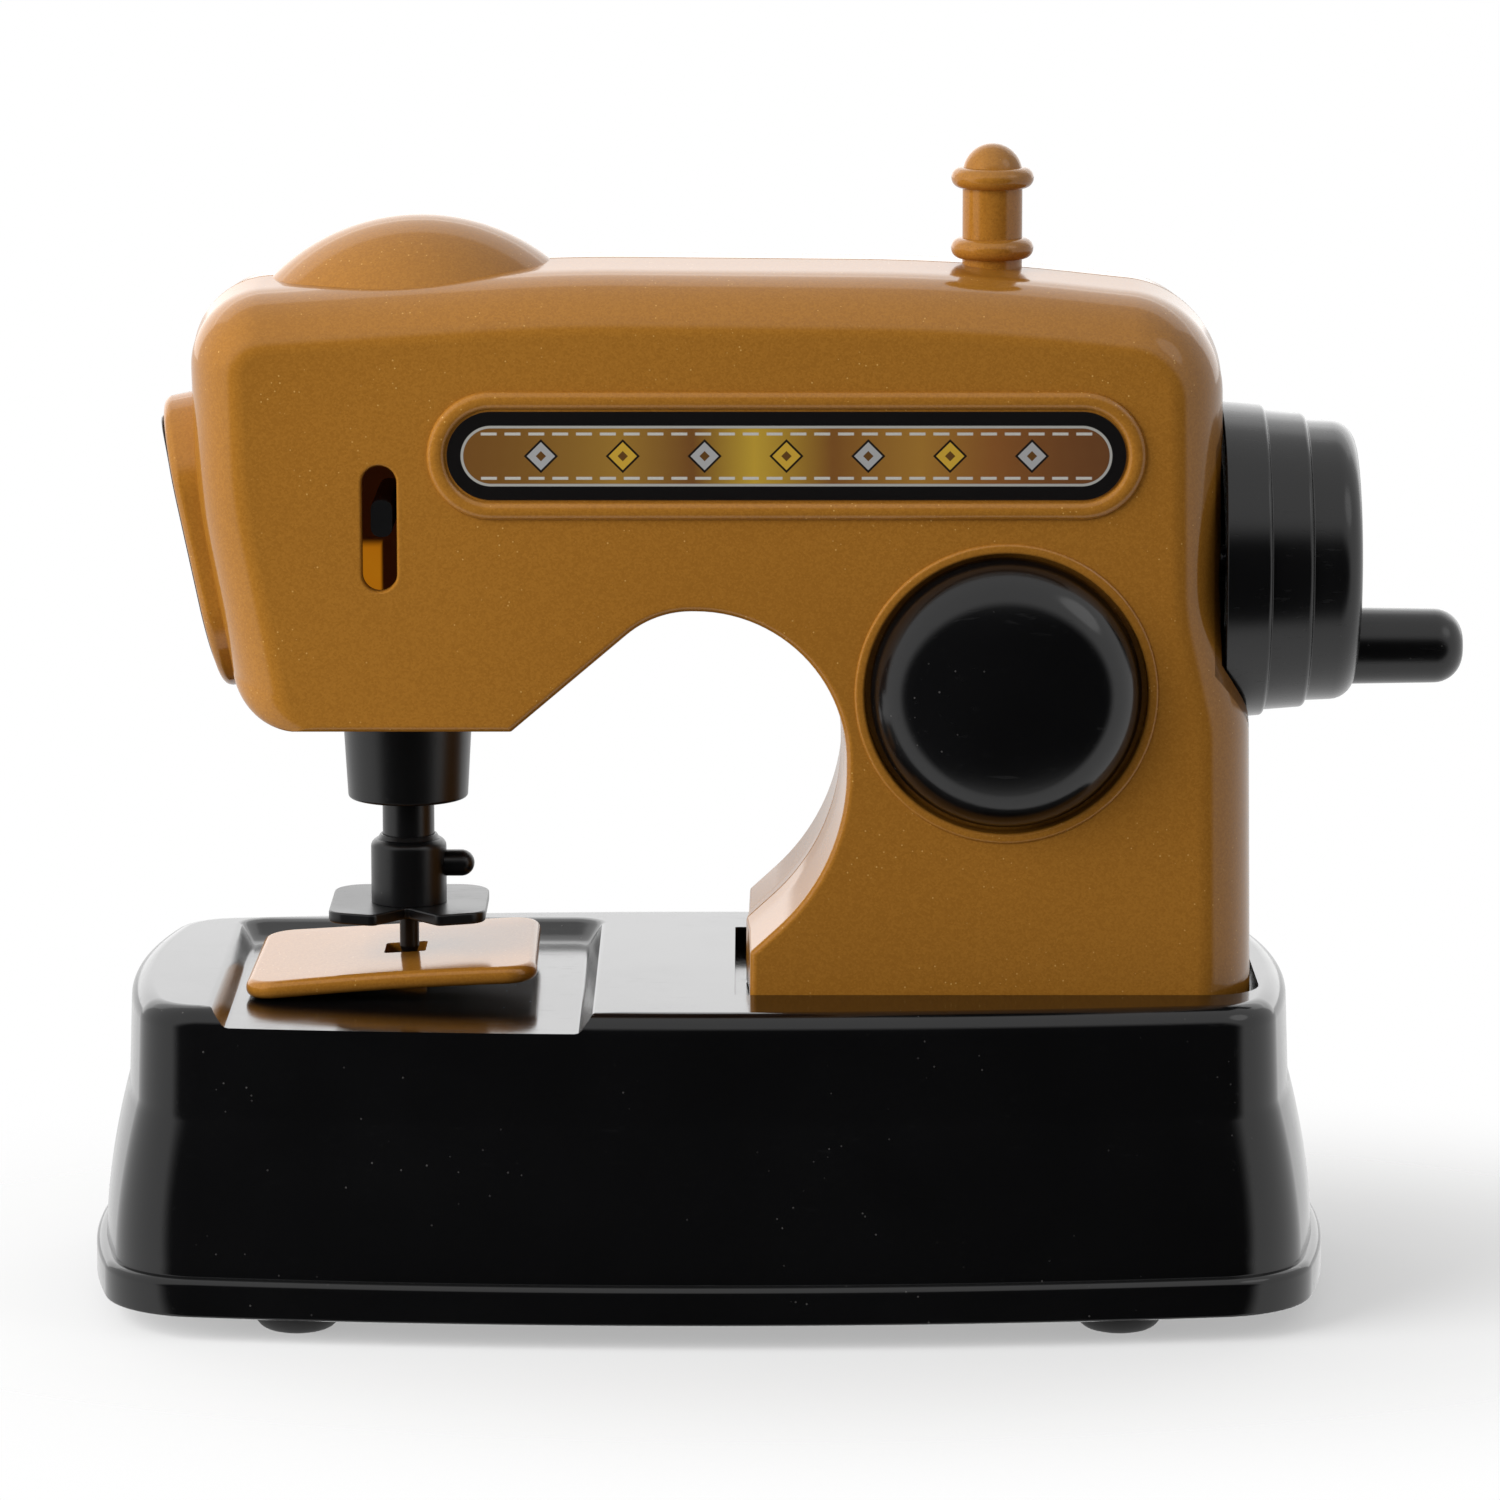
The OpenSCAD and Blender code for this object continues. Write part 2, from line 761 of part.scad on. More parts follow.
// Clockwise outline of the socket, by a gap round the pillar
module socket_outline(gap) {
  left = pillar_left - socket_gap;
  right = pillar_right + gap;
  half = body_half + gap;
  polygon(rounded([
    [left, half, least_r],
    [right, half, edge_round],
    [right, -half, edge_round],
    [left, -half, least_r]
  ], round_steps));
}

// Recess for the needle plate, open at the front, with sloped walls
module recess_cut() {
  low = deck_z - recess_h;
  high = deck_z + over;
  reach = (recess_h + over) / recess_h;
  half = recess_w / 2;
  top_half = half + recess_slope * reach;
  top_back = recess_back + recess_back_slope * reach;
  intersection() {
    translate([recess_x, top_back, 0]) rotate([90, 0, 0]) linear_extrude(base_depth + top_back)
      polygon([[-half, low], [half, low], [top_half, high], [-top_half, high]]);
    translate([recess_x - recess_w, 0, 0]) rotate([90, 0, 90]) linear_extrude(2 * recess_w)
      polygon([[-base_depth, low], [recess_back, low], [top_back, high], [-base_depth, high]]);
  }
}

// Solid kept under the recess, the socket and round the screw posts
module base_features() {
  floor_z = deck_z - recess_h - recess_floor;
  half = recess_w / 2 + recess_slope + base_wall;
  translate([recess_x - half, -base_depth / 2, floor_z])
    cube([2 * half, base_depth / 2 + recess_back + recess_back_slope + base_wall, base_h]);
  translate([0, 0, deck_z - socket_h - socket_floor]) linear_extrude(base_h)
    socket_outline(clear + base_wall);
  at_corners(post_in_x, post_in_y)
    translate([0, 0, foot_h + bottom_t]) cylinder(d = post_d, h = base_h);
}

// Base cover: flared shell with rim, plate recess and pillar socket
module base_cover() {
  color(black) place() difference() {
    loft([for (p = base_section) base_ring(p[0], foot_h + p[1])], base_fans);
    difference() {
      loft([for (p = base_hollow_section) base_ring(p[0], foot_h + p[1])], base_fans);
      base_features();
    }
    recess_cut();
    translate([0, 0, deck_z - socket_h]) linear_extrude(socket_h + over) socket_outline(clear);
    at_corners(post_in_x, post_in_y)
      translate([0, 0, foot_h]) cylinder(d = screw_d + 2 * fit, h = bottom_t + screw_bite + over);
    for (sy = [-1, 1])
      translate([pillar_screw_x, sy * pillar_screw_y, deck_z - socket_h - socket_floor - over])
        cylinder(d = screw_d + 2 * fit, h = socket_floor + 2 * over);
    at_needle(-recess_h - recess_floor - over) cylinder(d = needle_hole_d, h = recess_floor + 2 * over);
    plate_peg_places() cylinder(d = plate_peg_d + 2 * fit, h = base_h);
  }
}

// Bottom plate that closes the base, inside the rim
module base_plate() {
  outline = [for (p = base_ring(base_wall + clear, 0)) [p[0], p[1]]];
  color(black) place() difference() {
    translate([0, 0, foot_h]) linear_extrude(bottom_t) polygon(outline);
    at_corners(post_in_x, post_in_y) {
      translate([0, 0, foot_h - over]) cylinder(d = screw_d + 2 * fit, h = bottom_t + 2 * over);
      translate([0, 0, foot_h - over]) cylinder(d = screw_head_d + 2 * clear, h = over + screw_head_h);
    }
    at_corners(foot_in_x, foot_in_y)
      translate([0, 0, foot_h - over]) cylinder(d = foot_peg_d + 2 * fit, h = bottom_t + 2 * over);
  }
}

// Four domed feet with a flat tread and a peg into the bottom plate
module rubber_feet() {
  bulge = (foot_d - foot_flat_d) / 2;
  color(rubber) place() at_corners(foot_in_x, foot_in_y) {
    rotate_extrude() intersection() {
      union() {
        square([foot_flat_d / 2, foot_h]);
        translate([foot_flat_d / 2, foot_h]) scale([bulge / foot_h, 1]) circle(r = foot_h);
      }
      square([foot_d, foot_h]);
    }
    cylinder(d = foot_peg_d, h = foot_h + bottom_t);
  }
}

// Screws up through the bottom plate into the posts
module base_screws() {
  color(steel) place() at_corners(post_in_x, post_in_y)
    translate([0, 0, foot_h]) screw(screw_bite);
}

// Screws up through the socket's floor into the pillar
module pillar_screws() {
  color(steel) place() for (sy = [-1, 1])
    translate([pillar_screw_x, sy * pillar_screw_y, deck_z - socket_h - socket_floor - screw_head_h])
      screw(socket_floor + screw_bite);
}

// Screws from behind that close the shells
module body_screws() {
  color(steel) place() for (p = body_screw_places)
    at_body(p[0], p[1], body_screw_wall + screw_head_h) rotate([90, 0, 0])
      screw(body_screw_wall + screw_bite);
}

// Where the two pegs of the needle plate stand
module plate_peg_places()
  for (sy = [-1, 1])
    translate([
      plate_x - plate_w / 2 + plate_peg_in,
      plate_y + sy * plate_d * plate_peg_y_share,
      deck_z - recess_h - recess_floor
    ]) children();

// Needle plate: a thin plate, tipped up to the right, with a slot for the needle
module needle_plate() {
  half_w = plate_w / 2;
  half_d = plate_d / 2;
  color(gold) place() difference() {
    union() {
      at_plate() translate([0, 0, half_w * sin(plate_tilt)]) linear_extrude(plate_t)
        polygon(rounded([
          [-half_w, half_d, plate_corner],
          [half_w, half_d, plate_corner],
          [half_w, -half_d, plate_corner],
          [-half_w, -half_d, plate_corner]
        ], round_steps));
      plate_peg_places() cylinder(d = plate_peg_d, h = recess_floor + plate_lift + plate_t / 2);
    }
    translate([needle_x - needle_slot_x, needle_slot_y, deck_z - recess_h])
      translate([-needle_slot_w / 2, -needle_slot_d / 2, 0])
        cube([needle_slot_w, needle_slot_d, recess_h + plate_t + plate_lift + over]);
  }
}

// Each step of the handwheel: where it starts and ends along the length, and its radius there
wheel_step_shares = [[0, 0.2, 1, 0.98], [0.26, 0.505, 0.947, 0.927], [0.578, 1, 0.886, 0.874]];

// A point of the wheel's outline, and the round drop from one step to the next
drop_steps = 3;
function wheel_point(x_share, r_share) = [r_share * wheel_d / 2, x_share * wheel_len];
function wheel_drop(step, next) =
  [for (k = [0:drop_steps - 1])
    let (t = 90 * k / drop_steps)
    wheel_point(step[1] + (next[0] - step[1]) * sin(t), next[2] + (step[3] - next[2]) * cos(t))];

// Handwheel: a cup of three steps, with a hub and a well for its screw
module handwheel() {
  last = len(wheel_step_shares) - 1;
  end_r = wheel_point(1, wheel_step_shares[last][3])[0];
  skirt = [for (i = [0:last])
    let (step = wheel_step_shares[i])
    each concat(
      [wheel_point(step[0], step[2])],
      i < last ? wheel_drop(step, wheel_step_shares[i + 1]) : []
    )];
  nose = [for (k = [0:round_steps])
    let (t = 90 * k / round_steps)
    [end_r - wheel_round * (1 - cos(t)), wheel_len - wheel_round * (1 - sin(t))]];
  color(black) place() difference() {
    at_shaft(wheel_x) rotate([0, 90, 0]) rotate_extrude() difference() {
      polygon(concat([[0, 0]], skirt, nose, [[0, wheel_len]]));
      translate([hub_d / 2, -over])
        square([end_r - wheel_wall - hub_d / 2, wheel_len - wheel_wall + over]);
      translate([0, -over]) square([hub_d / 2 + over, over + hub_in]);
    }
    at_shaft(wheel_x - over) along_x(shaft_d + 2 * fit, wheel_len - wheel_wall - screw_head_h);
    at_shaft(wheel_x) along_x(screw_d + 2 * fit, wheel_len + over);
    at_shaft(wheel_end - screw_head_h - clear) along_x(screw_head_d + 2 * clear, wheel_len);
    at_shaft(wheel_end - handle_root) translate([0, 0, -handle_throw])
      along_x(handle_d - 2 * handle_shoulder + 2 * fit, wheel_len);
  }
}

// Crank handle: a round-ended taper with a spigot that is fixed in the wheel
module crank_handle() {
  r = handle_d / 2;
  spigot_r = r - handle_shoulder;
  tip = [for (k = [0:round_steps])
    let (t = 90 * k / round_steps)
    [r * handle_tip_share - handle_round * (1 - cos(t)), handle_len - handle_round * (1 - sin(t))]];
  color(black) place() at_shaft(wheel_end) translate([0, 0, -handle_throw]) rotate([0, 90, 0])
    rotate_extrude() polygon(concat(
      [[0, -handle_root], [spigot_r, -handle_root], [spigot_r, 0], [r, 0]],
      tip,
      [[0, handle_len]]
    ));
}

// Main shaft, drilled at its right end for the wheel screw
shaft_right = wheel_end - wheel_wall - screw_head_h - over - clear;
module main_shaft() {
  color(steel) place() difference() {
    at_shaft(shaft_left) along_x(shaft_d, shaft_right - shaft_left);
    at_shaft(shaft_right - wheel_screw_bite) along_x(screw_d + 2 * fit, wheel_screw_bite + over);
  }
}

// Crank disc with a long hub that runs up to the bearing rib
module crank_disc() {
  color(black) place() difference() {
    union() {
      at_shaft(shaft_left) along_x(disc_d, disc_t);
      at_shaft(shaft_left) along_x(disc_hub_d, rib_x - clear - shaft_left);
    }
    at_shaft(shaft_left - over) along_x(shaft_d + 2 * fit, rib_x - shaft_left + 2 * over);
    at_crank_pin(shaft_left - over) along_x(crank_pin_d + 2 * fit, disc_t + 2 * over);
  }
}

// The crank pin's axis, where it stands with the needle bar as at rest
module at_crank_pin(x) at_shaft(x) translate([0, crank_out, crank_lift]) children();

// Crank pin, ending just short of the yoke
yoke_right = needle_x + yoke_shift + yoke_t / 2;
yoke_left = yoke_right - yoke_t;
module crank_pin() {
  color(steel) place() at_crank_pin(yoke_right + clear)
    along_x(crank_pin_d, shaft_left + disc_t - yoke_right - clear);
}

// Collar on the other side of the bearing rib
module shaft_collar() {
  color(black) place() difference() {
    at_shaft(rib_x + rib_t + clear) along_x(collar_d, collar_t);
    at_shaft(rib_x + rib_t) along_x(shaft_d + 2 * fit, collar_t + clear + over);
  }
}

// Screw in the middle of the wheel's face
module wheel_screw() {
  color(steel) place() at_shaft(wheel_end - clear) rotate([0, -90, 0])
    screw(wheel_wall + wheel_screw_bite / 2);
}

// Needle bar with the yoke plate on top: the crank pin works in its cross slot
module needle_bar() {
  bar_low_h = clamp_low_h;
  slot_h_here = crank_pin_d + 2 * clear;
  slot_len_here = 2 * crank_throw + slot_h_here;
  low_h = shaft_h + crank_lift - yoke_under;
  high_h = pin_h + pin_tall / 2;
  color(black) place() difference() {
    union() {
      at_needle(bar_low_h) cylinder(d = bar_d, h = low_h - bar_low_h);
      translate([yoke_left, -yoke_w / 2, deck_z + low_h]) cube([yoke_t, yoke_w, high_h - low_h]);
    }
    translate([yoke_left - over, 0, shaft_z + crank_lift]) rotate([0, 90, 0]) rotate([0, 0, 90])
      linear_extrude(yoke_t + 2 * over) stadium(slot_len_here, slot_h_here);
    at_needle(bar_low_h - over) cylinder(d = needle_d + 2 * fit, h = needle_grip + over);
  }
}

// Clamp round the foot of the bar
module needle_clamp() {
  inner = bar_d / 2 + fit;
  outer = clamp_d / 2;
  shoulder = [for (k = [0:round_steps])
    let (t = 90 * k / round_steps)
    [outer - clamp_round * (1 - cos(t)), clamp_len - clamp_round * (1 - sin(t))]];
  color(black) place() difference() {
    at_needle(clamp_low_h) rotate_extrude()
      polygon(concat([[inner, 0], [outer, 0]], shoulder, [[inner, clamp_len]]));
    at_needle(clamp_peg_h) along_x(clamp_peg_d + 2 * fit, clamp_d);
  }
}

// Peg that tightens the clamp, with a round end
module clamp_peg() {
  r = clamp_peg_d / 2;
  root = clamp_d / 2 - clamp_peg_in;
  length = clamp_peg_in + clamp_peg_len;
  color(black) place() at_needle(clamp_peg_h) rotate([0, 90, 0]) rotate_extrude()
    intersection() {
      union() {
        translate([0, root]) square([r, length - r]);
        translate([0, root + length - r]) circle(r = r);
      }
      translate([0, root]) square([clamp_d, length]);
    }
}

// Presser foot: a flat plate with round wings and a notched front
module presser_foot() {
  half_w = foot_plate_w / 2;
  half_d = foot_plate_d / 2;
  toe_x = half_w * foot_toe_share;
  color(black) place() difference() {
    at_needle(clamp_low_h - foot_plate_t) translate([0, foot_plate_shift, 0])
      linear_extrude(foot_plate_t) polygon(rounded([
        [-half_w, half_d, foot_back_r],
        [half_w, half_d, foot_back_r],
        [half_w, -half_d * foot_wing_share, foot_wing_r],
        [toe_x, -half_d, foot_toe_r],
        [0, -half_d * foot_notch_share, foot_notch_r],
        [-toe_x, -half_d, foot_toe_r],
        [-half_w, -half_d * foot_wing_share, foot_wing_r]
      ], round_steps));
    at_needle(0) cylinder(d = needle_d + 2 * fit, h = clamp_low_h + over);
  }
}

// Needle, gripped in the foot of the bar
module needle() {
  color(black) place() at_needle(needle_tip_h) {
    cylinder(d1 = needle_point_d, d2 = needle_d, h = needle_point);
    translate([0, 0, needle_point])
      cylinder(d = needle_d, h = clamp_low_h + needle_grip - clear - needle_point - needle_tip_h);
  }
}

// Take-up pin on the side of the yoke, out through the thread slot
module take_up_pin() {
  front_y = -body_half + pin_back;
  color(black) place() translate([yoke_left - pin_wide, front_y, deck_z + pin_h - pin_tall / 2])
    rotate([-90, 0, 0]) translate([pin_wide / 2, -pin_tall / 2, 0]) linear_extrude(-front_y)
      polygon(rounded([
        [-pin_wide / 2, pin_tall / 2, pin_round],
        [pin_wide / 2, pin_tall / 2, pin_round],
        [pin_wide / 2, -pin_tall / 2, pin_round],
        [-pin_wide / 2, -pin_tall / 2, pin_round]
      ], round_steps));
}

// Front knob: a domed cup with a stem through the shell
module front_knob() {
  r = knob_d / 2;
  back = knob_sink;
  rim_top = knob_h - knob_crown;
  crown_r = (pow(r - knob_rim_r, 2) + pow(knob_crown, 2)) / (2 * knob_crown);
  crown_half = asin((r - knob_rim_r) / crown_r);
  crown_steps = 6;
  rim = [for (k = [0:round_steps])
    let (t = 90 * k / round_steps)
    [r - knob_rim_r * (1 - cos(t)), rim_top - knob_rim_r * (1 - sin(t))]];
  crown_arc = [for (k = [1:crown_steps])
    let (t = crown_half * (1 - k / crown_steps))
    [crown_r * sin(t), knob_h - crown_r * (1 - cos(t))]];
  stem_len = knob_sink + clear + body_wall + clear;
  color(black) place() at_knob(-body_half) rotate([90, 0, 0]) difference() {
    rotate_extrude() union() {
      difference() {
        polygon(concat([[0, -back], [r, -back]], rim, crown_arc));
        translate([knob_stem_d / 2, -back - over])
          square([r - knob_wall - knob_stem_d / 2, back + rim_top - knob_rim_r + over]);
      }
      translate([0, -stem_len]) square([knob_stem_d / 2, stem_len]);
    }
    translate([0, 0, -stem_len - over]) cylinder(d = screw_d + 2 * fit, h = screw_bite + over);
  }
}

// Washer behind the shell that holds the knob's stem
module knob_washer() {
  color(steel) place() difference() {
    at_knob(-body_half + knob_sink + clear + body_wall + clear) along_y(knob_washer_d, washer_t);
    at_knob(-body_half) along_y(screw_d + 2 * fit, body_half);
  }
}

// Screw into the knob's stem
module knob_screw() {
  color(steel) place()
    at_knob(-body_half + knob_sink + 2 * clear + body_wall + washer_t + screw_head_h)
      rotate([90, 0, 0]) screw(washer_t + screw_bite - clear);
}

front_shell();
rear_shell();
spool_pin();
front_label();
side_label();
bar_bush();
base_cover();
base_plate();
rubber_feet();
base_screws();
pillar_screws();
body_screws();
needle_plate();
handwheel();
crank_handle();
main_shaft();
crank_disc();
crank_pin();
shaft_collar();
wheel_screw();
needle_bar();
needle_clamp();
clamp_peg();
presser_foot();
needle();
take_up_pin();
front_knob();
knob_washer();
knob_screw();
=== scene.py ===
# %% [markdown]
# A toy sewing machine in gold and black plastic. The packed model gives every piece its place and
# its joint. This lesson puts smooth mouldings and real finishes over it, piece by piece, in metres
# in the same frame, so that nothing has to be fitted by eye.

# %% Load the frame
import json
import math

import bmesh
import bpy
from mathutils import Matrix, Vector


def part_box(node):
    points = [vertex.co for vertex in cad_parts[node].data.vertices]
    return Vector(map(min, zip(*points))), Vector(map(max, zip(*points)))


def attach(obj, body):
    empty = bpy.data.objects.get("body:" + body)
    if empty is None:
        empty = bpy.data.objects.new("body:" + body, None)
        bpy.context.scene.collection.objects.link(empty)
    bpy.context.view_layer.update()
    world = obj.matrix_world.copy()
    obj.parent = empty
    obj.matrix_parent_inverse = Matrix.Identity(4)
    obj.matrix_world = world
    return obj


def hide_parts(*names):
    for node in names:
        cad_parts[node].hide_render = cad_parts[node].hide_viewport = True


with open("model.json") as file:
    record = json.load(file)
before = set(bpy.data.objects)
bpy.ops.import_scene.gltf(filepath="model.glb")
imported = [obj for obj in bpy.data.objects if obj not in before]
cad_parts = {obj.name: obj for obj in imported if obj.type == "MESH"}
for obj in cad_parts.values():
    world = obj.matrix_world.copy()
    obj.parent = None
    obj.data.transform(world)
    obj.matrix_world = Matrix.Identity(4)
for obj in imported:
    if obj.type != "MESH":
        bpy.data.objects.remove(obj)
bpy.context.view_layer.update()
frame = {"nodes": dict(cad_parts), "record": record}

# %% [markdown]
# All sizes below are in millimetres from the middle of the base, with the table at height zero,
# because that is how a maker would measure the toy. The base cover's own box says where that middle
# lies in the frame, and one helper turns a maker's point into a point of the frame.

# %% From millimetres to the frame
MM = 0.001
cover_low, cover_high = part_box("base_cover")
middle_x = (cover_low[0] + cover_high[0]) / 2
deck_z = 45.0


def spot(p):
    return (middle_x + p[0] * MM, p[1] * MM, p[2] * MM)


print("middle of the base at x", round(middle_x, 5))

# %% [markdown]
# Most pieces of a moulded toy are rows of points joined by strips: a loft. A small sketch class
# collects points and faces, adds a strip between two rows and closes a row with a cap. It is plain
# Python, so that each later piece reads as a list of rows.


# %% A sketch of rows, strips and caps
class Sketch:
    def __init__(self):
        self.points = []
        self.faces = []

    def row(self, points):
        first = len(self.points)
        self.points.extend(points)
        return list(range(first, first + len(points)))

    def strip(self, a, b):
        for k in range(len(a)):
            j = (k + 1) % len(a)
            self.faces.append((a[k], a[j], b[j], b[k]))

    def cap(self, a):
        self.faces.append(tuple(a))

    def loft(self, rows):
        rings = [self.row(points) for points in rows]
        self.cap(rings[0])
        for a, b in zip(rings, rings[1:]):
            self.strip(a, b)
        self.cap(rings[-1])


WELD = 1e-6


def moulding(name, sketch, half=0):
    mesh = bpy.data.meshes.new(name)
    mesh.from_pydata([spot(p) for p in sketch.points], [], sketch.faces)
    bm = bmesh.new()
    bm.from_mesh(mesh)
    bmesh.ops.remove_doubles(bm, verts=bm.verts, dist=WELD)
    if half:
        parts = bm.verts[:] + bm.edges[:] + bm.faces[:]
        cut = bmesh.ops.bisect_plane(
            bm, geom=parts, plane_co=(0, 0, 0), plane_no=(0, half, 0), clear_outer=True
        )
        rim = [e for e in cut["geom_cut"] if isinstance(e, bmesh.types.BMEdge)]
        bmesh.ops.holes_fill(bm, edges=rim)
    bmesh.ops.recalc_face_normals(bm, faces=bm.faces)
    bm.to_mesh(mesh)
    bm.free()
    piece = bpy.data.objects.new(name, mesh)
    bpy.context.collection.objects.link(piece)
    return piece


print("a sketch can", ", ".join(way for way in vars(Sketch) if way[0] != "_"))

# %% [markdown]
# A tool that cuts is a solid too: the thread slot, the wheel's seat and the recess are carved with
# an exact boolean, and the result is kept as a plain mesh. Pieces that are moulded in one with
# another, such as a raised ridge on a wall, are joined to it. A finished piece is settled: it gets
# its shading, its body and its slot, and goes on a list of pieces to dress at the end.


# %% Carve, keep inside and join
def carve(piece, tool, way="DIFFERENCE"):
    step = piece.modifiers.new("carve", "BOOLEAN")
    step.operation = way
    step.solver = "EXACT"
    step.object = tool
    now = bpy.context.evaluated_depsgraph_get()
    mesh = bpy.data.meshes.new_from_object(piece.evaluated_get(now))
    piece.modifiers.clear()
    piece.data = mesh
    bpy.data.objects.remove(tool)


def join(piece, *others):
    bm = bmesh.new()
    bm.from_mesh(piece.data)
    for other in others:
        bm.from_mesh(other.data)
        bpy.data.objects.remove(other)
    bm.to_mesh(piece.data)
    bm.free()


mouldings = []


def settle(piece, body, slot, *nodes, crease=28):
    mesh = piece.data
    mesh.shade_smooth()
    mesh.set_sharp_from_angle(angle=math.radians(crease))
    even = piece.modifiers.new("even shading", "WEIGHTED_NORMAL")
    even.keep_sharp = True
    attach(piece, body)
    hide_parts(*nodes)
    mouldings.append((piece, slot))
    print(piece.name, len(mesh.polygons), "faces for", ", ".join(nodes))


print("ready to carve, join and settle")

# %% [markdown]
# Turned pieces such as the wheel, the knob and the crown on the head come from a profile spun about
# an axis. Every corner of the profile may carry a radius, because moulded plastic has no knife
# edges, and it is those small rounds that catch the light.


# %% Round a corner, ease a profile and turn it
quarter = math.pi / 2
NEARLY_STRAIGHT = math.radians(89.9)


def corner_arc(a, v, b, r, steps):
    a, v, b = Vector(a[:2]), Vector(v[:2]), Vector(b[:2])
    u, w = (a - v).normalized(), (b - v).normalized()
    half = math.acos(max(-1, min(1, u.dot(w)))) / 2
    if r <= 0 or half > NEARLY_STRAIGHT:
        return [v] * (steps + 1)
    centre = v + (u + w).normalized() * (r / math.sin(half))
    start = v + u * (r / math.tan(half)) - centre
    turn = math.pi - 2 * half
    if (v - a).cross(b - v) < 0:
        turn = -turn
    return [centre + Matrix.Rotation(turn * k / steps, 2) @ start for k in range(steps + 1)]


def eased(corners, closed=False, steps=6):
    out = []
    n = len(corners)
    for i, c in enumerate(corners):
        if len(c) < 3 or c[2] == 0 or (not closed and i in (0, n - 1)):
            out.append(Vector(c[:2]))
        else:
            out.extend(corner_arc(corners[i - 1], c, corners[(i + 1) % n], c[2], steps))
    return out


def turned(sketch, profile, centre, axis, closed=False, count=128):
    rings = []
    for r, s in profile:
        ring = []
        for k in range(count if r > WELD else 1):
            a = 2 * math.pi * k / count
            u, v = r * math.cos(a), r * math.sin(a)
            p = {"x": (s, u, v), "y": (u, s, v), "z": (u, v, s)}[axis]
            ring.append([centre[i] + p[i] for i in range(3)])
        rings.append(sketch.row(ring))
    for a, b in zip(rings, rings[1:] + rings[:1] if closed else rings[1:]):
        if len(a) > 1 and len(b) > 1:
            sketch.strip(a, b)
        elif len(a) + len(b) > 2:
            pole, ring = (a[0], b) if len(a) == 1 else (b[0], a)
            for k in range(len(ring)):
                sketch.faces.append((pole, ring[k], ring[(k + 1) % len(ring)]))


def rod(profile, centre, axis, name="rod", closed=False, count=96):
    sketch = Sketch()
    turned(sketch, profile, centre, axis, closed, count)
    return moulding(name, sketch)


def pin(r, low, high, centre, axis, count=96):
    return rod([(0, low), (r, low), (r, high), (0, high)], centre, axis, count=count)


def prism(name, corners, low, high, steps=6):
    sketch = Sketch()
    outline = eased(corners, closed=True, steps=steps)
    sketch.loft([[(p.x, p.y, z) for p in outline] for z in (low, high)])
    return moulding(name, sketch)


print("points on an eased corner", len(corner_arc((0, 9), (0, 0), (9, 0), 3, 6)))

# %% [markdown]
# ## The body
# The body is two hollow halves that meet on a plane through the middle. Its outline is fifteen
# corners. Each says how far along it is, how high over the deck, its radius, its steps, and whether
# the side after it is soft: soft edges run over the top and the outer ends, crisp ones round the
# throat. Each row of the loft is that outline, moved in. A soft edge reaches further over the top
# than down the face, by the share ARCH, which makes the top a shallow arch.

# %% The body's outline
BODY_HALF, WALL = 23.0, 2.0
SOFT, CRISP, DRAFT, LEAST, ARCH = 8.0, 1.0, 0.5, 0.3, 0.6
body_corners = [
    (5.2, -3, 0.3, 1, 0), (5.2, 6, 1.2, 5, 0), (18.3, 18, 28.5, 18, 0),
    (18.3, 52.2, 20, 26, 0), (-7, 52.2, 13, 14, 0), (-26.5, 35.7, 1, 5, 0),
    (-64.2, 35.7, 9.5, 20, 1), (-70.3, 67, 80, 10, 1), (-71, 95.2, 11, 22, 1),
    (-20, 98.5, 250, 8, 1), (35, 98.0, 300, 10, 1), (70.3, 94.2, 14.5, 22, 1),
    (70.9, 53, 25, 8, 1), (74.6, 37, 25, 8, 1), (75.2, -3, 0.3, 1, 0),
]


def moved_in(corners, moves):
    out = []
    n = len(corners)
    for i in range(n):
        p, q, r = corners[i - 1], corners[i], corners[(i + 1) % n]
        d, e = (q - p).normalized(), (r - q).normalized()
        a = q + Vector((d.y, -d.x)) * moves[i - 1]
        b = q + Vector((e.y, -e.x)) * moves[i]
        bend = d.cross(e)
        out.append(a + d * ((b - a).cross(e) / bend))
    return out


def body_row(move, soft, crisp, turn):
    rounds = [soft if is_soft else crisp for *_, is_soft in body_corners]
    moves = [move + r * (1 - math.cos(turn)) for r in rounds]
    corners = moved_in([Vector((x, deck_z + h)) for x, h, *_ in body_corners], moves)
    row = []
    for i, (_, _, radius, steps, _) in enumerate(body_corners):
        a, v, b = corners[i - 1], corners[i], corners[(i + 1) % len(corners)]
        bend = 1 if (v - a).cross(b - v) > 0 else -1
        r = max(LEAST, radius + bend * (moves[i - 1] + moves[i]) / 2)
        for k, p in enumerate(corner_arc(a, v, b, r, steps)):
            share = k / steps if steps > 1 else 0
            row.append((p.x, rounds[i - 1] + (rounds[i] - rounds[i - 1]) * share, p.y))
    return row


print("corners of the body", len(body_corners))

# %% [markdown]
# Long straight sides get extra points, at most five millimetres apart, so that the faces stay
# square and the shading even. The cuts are counted once on the outer row and used on every row.

# %% Rows of one half of the body
LONGEST = 5.0
outer_row = body_row(0, SOFT, CRISP, 0)
side_cuts = []
for p, q in zip(outer_row, outer_row[1:] + outer_row[:1]):
    side_cuts.append(max(1, math.ceil(math.dist(p[::2], q[::2]) / LONGEST)))


def with_cuts(row):
    out = []
    for p, q, n in zip(row, row[1:] + row[:1], side_cuts):
        out.extend(tuple(a + (b - a) * k / n for a, b in zip(p, q)) for k in range(n))
    return out


def level(move, soft, crisp, depth):
    return [(x, -depth, z) for x, _, z in with_cuts(body_row(move, soft, crisp, 0))]


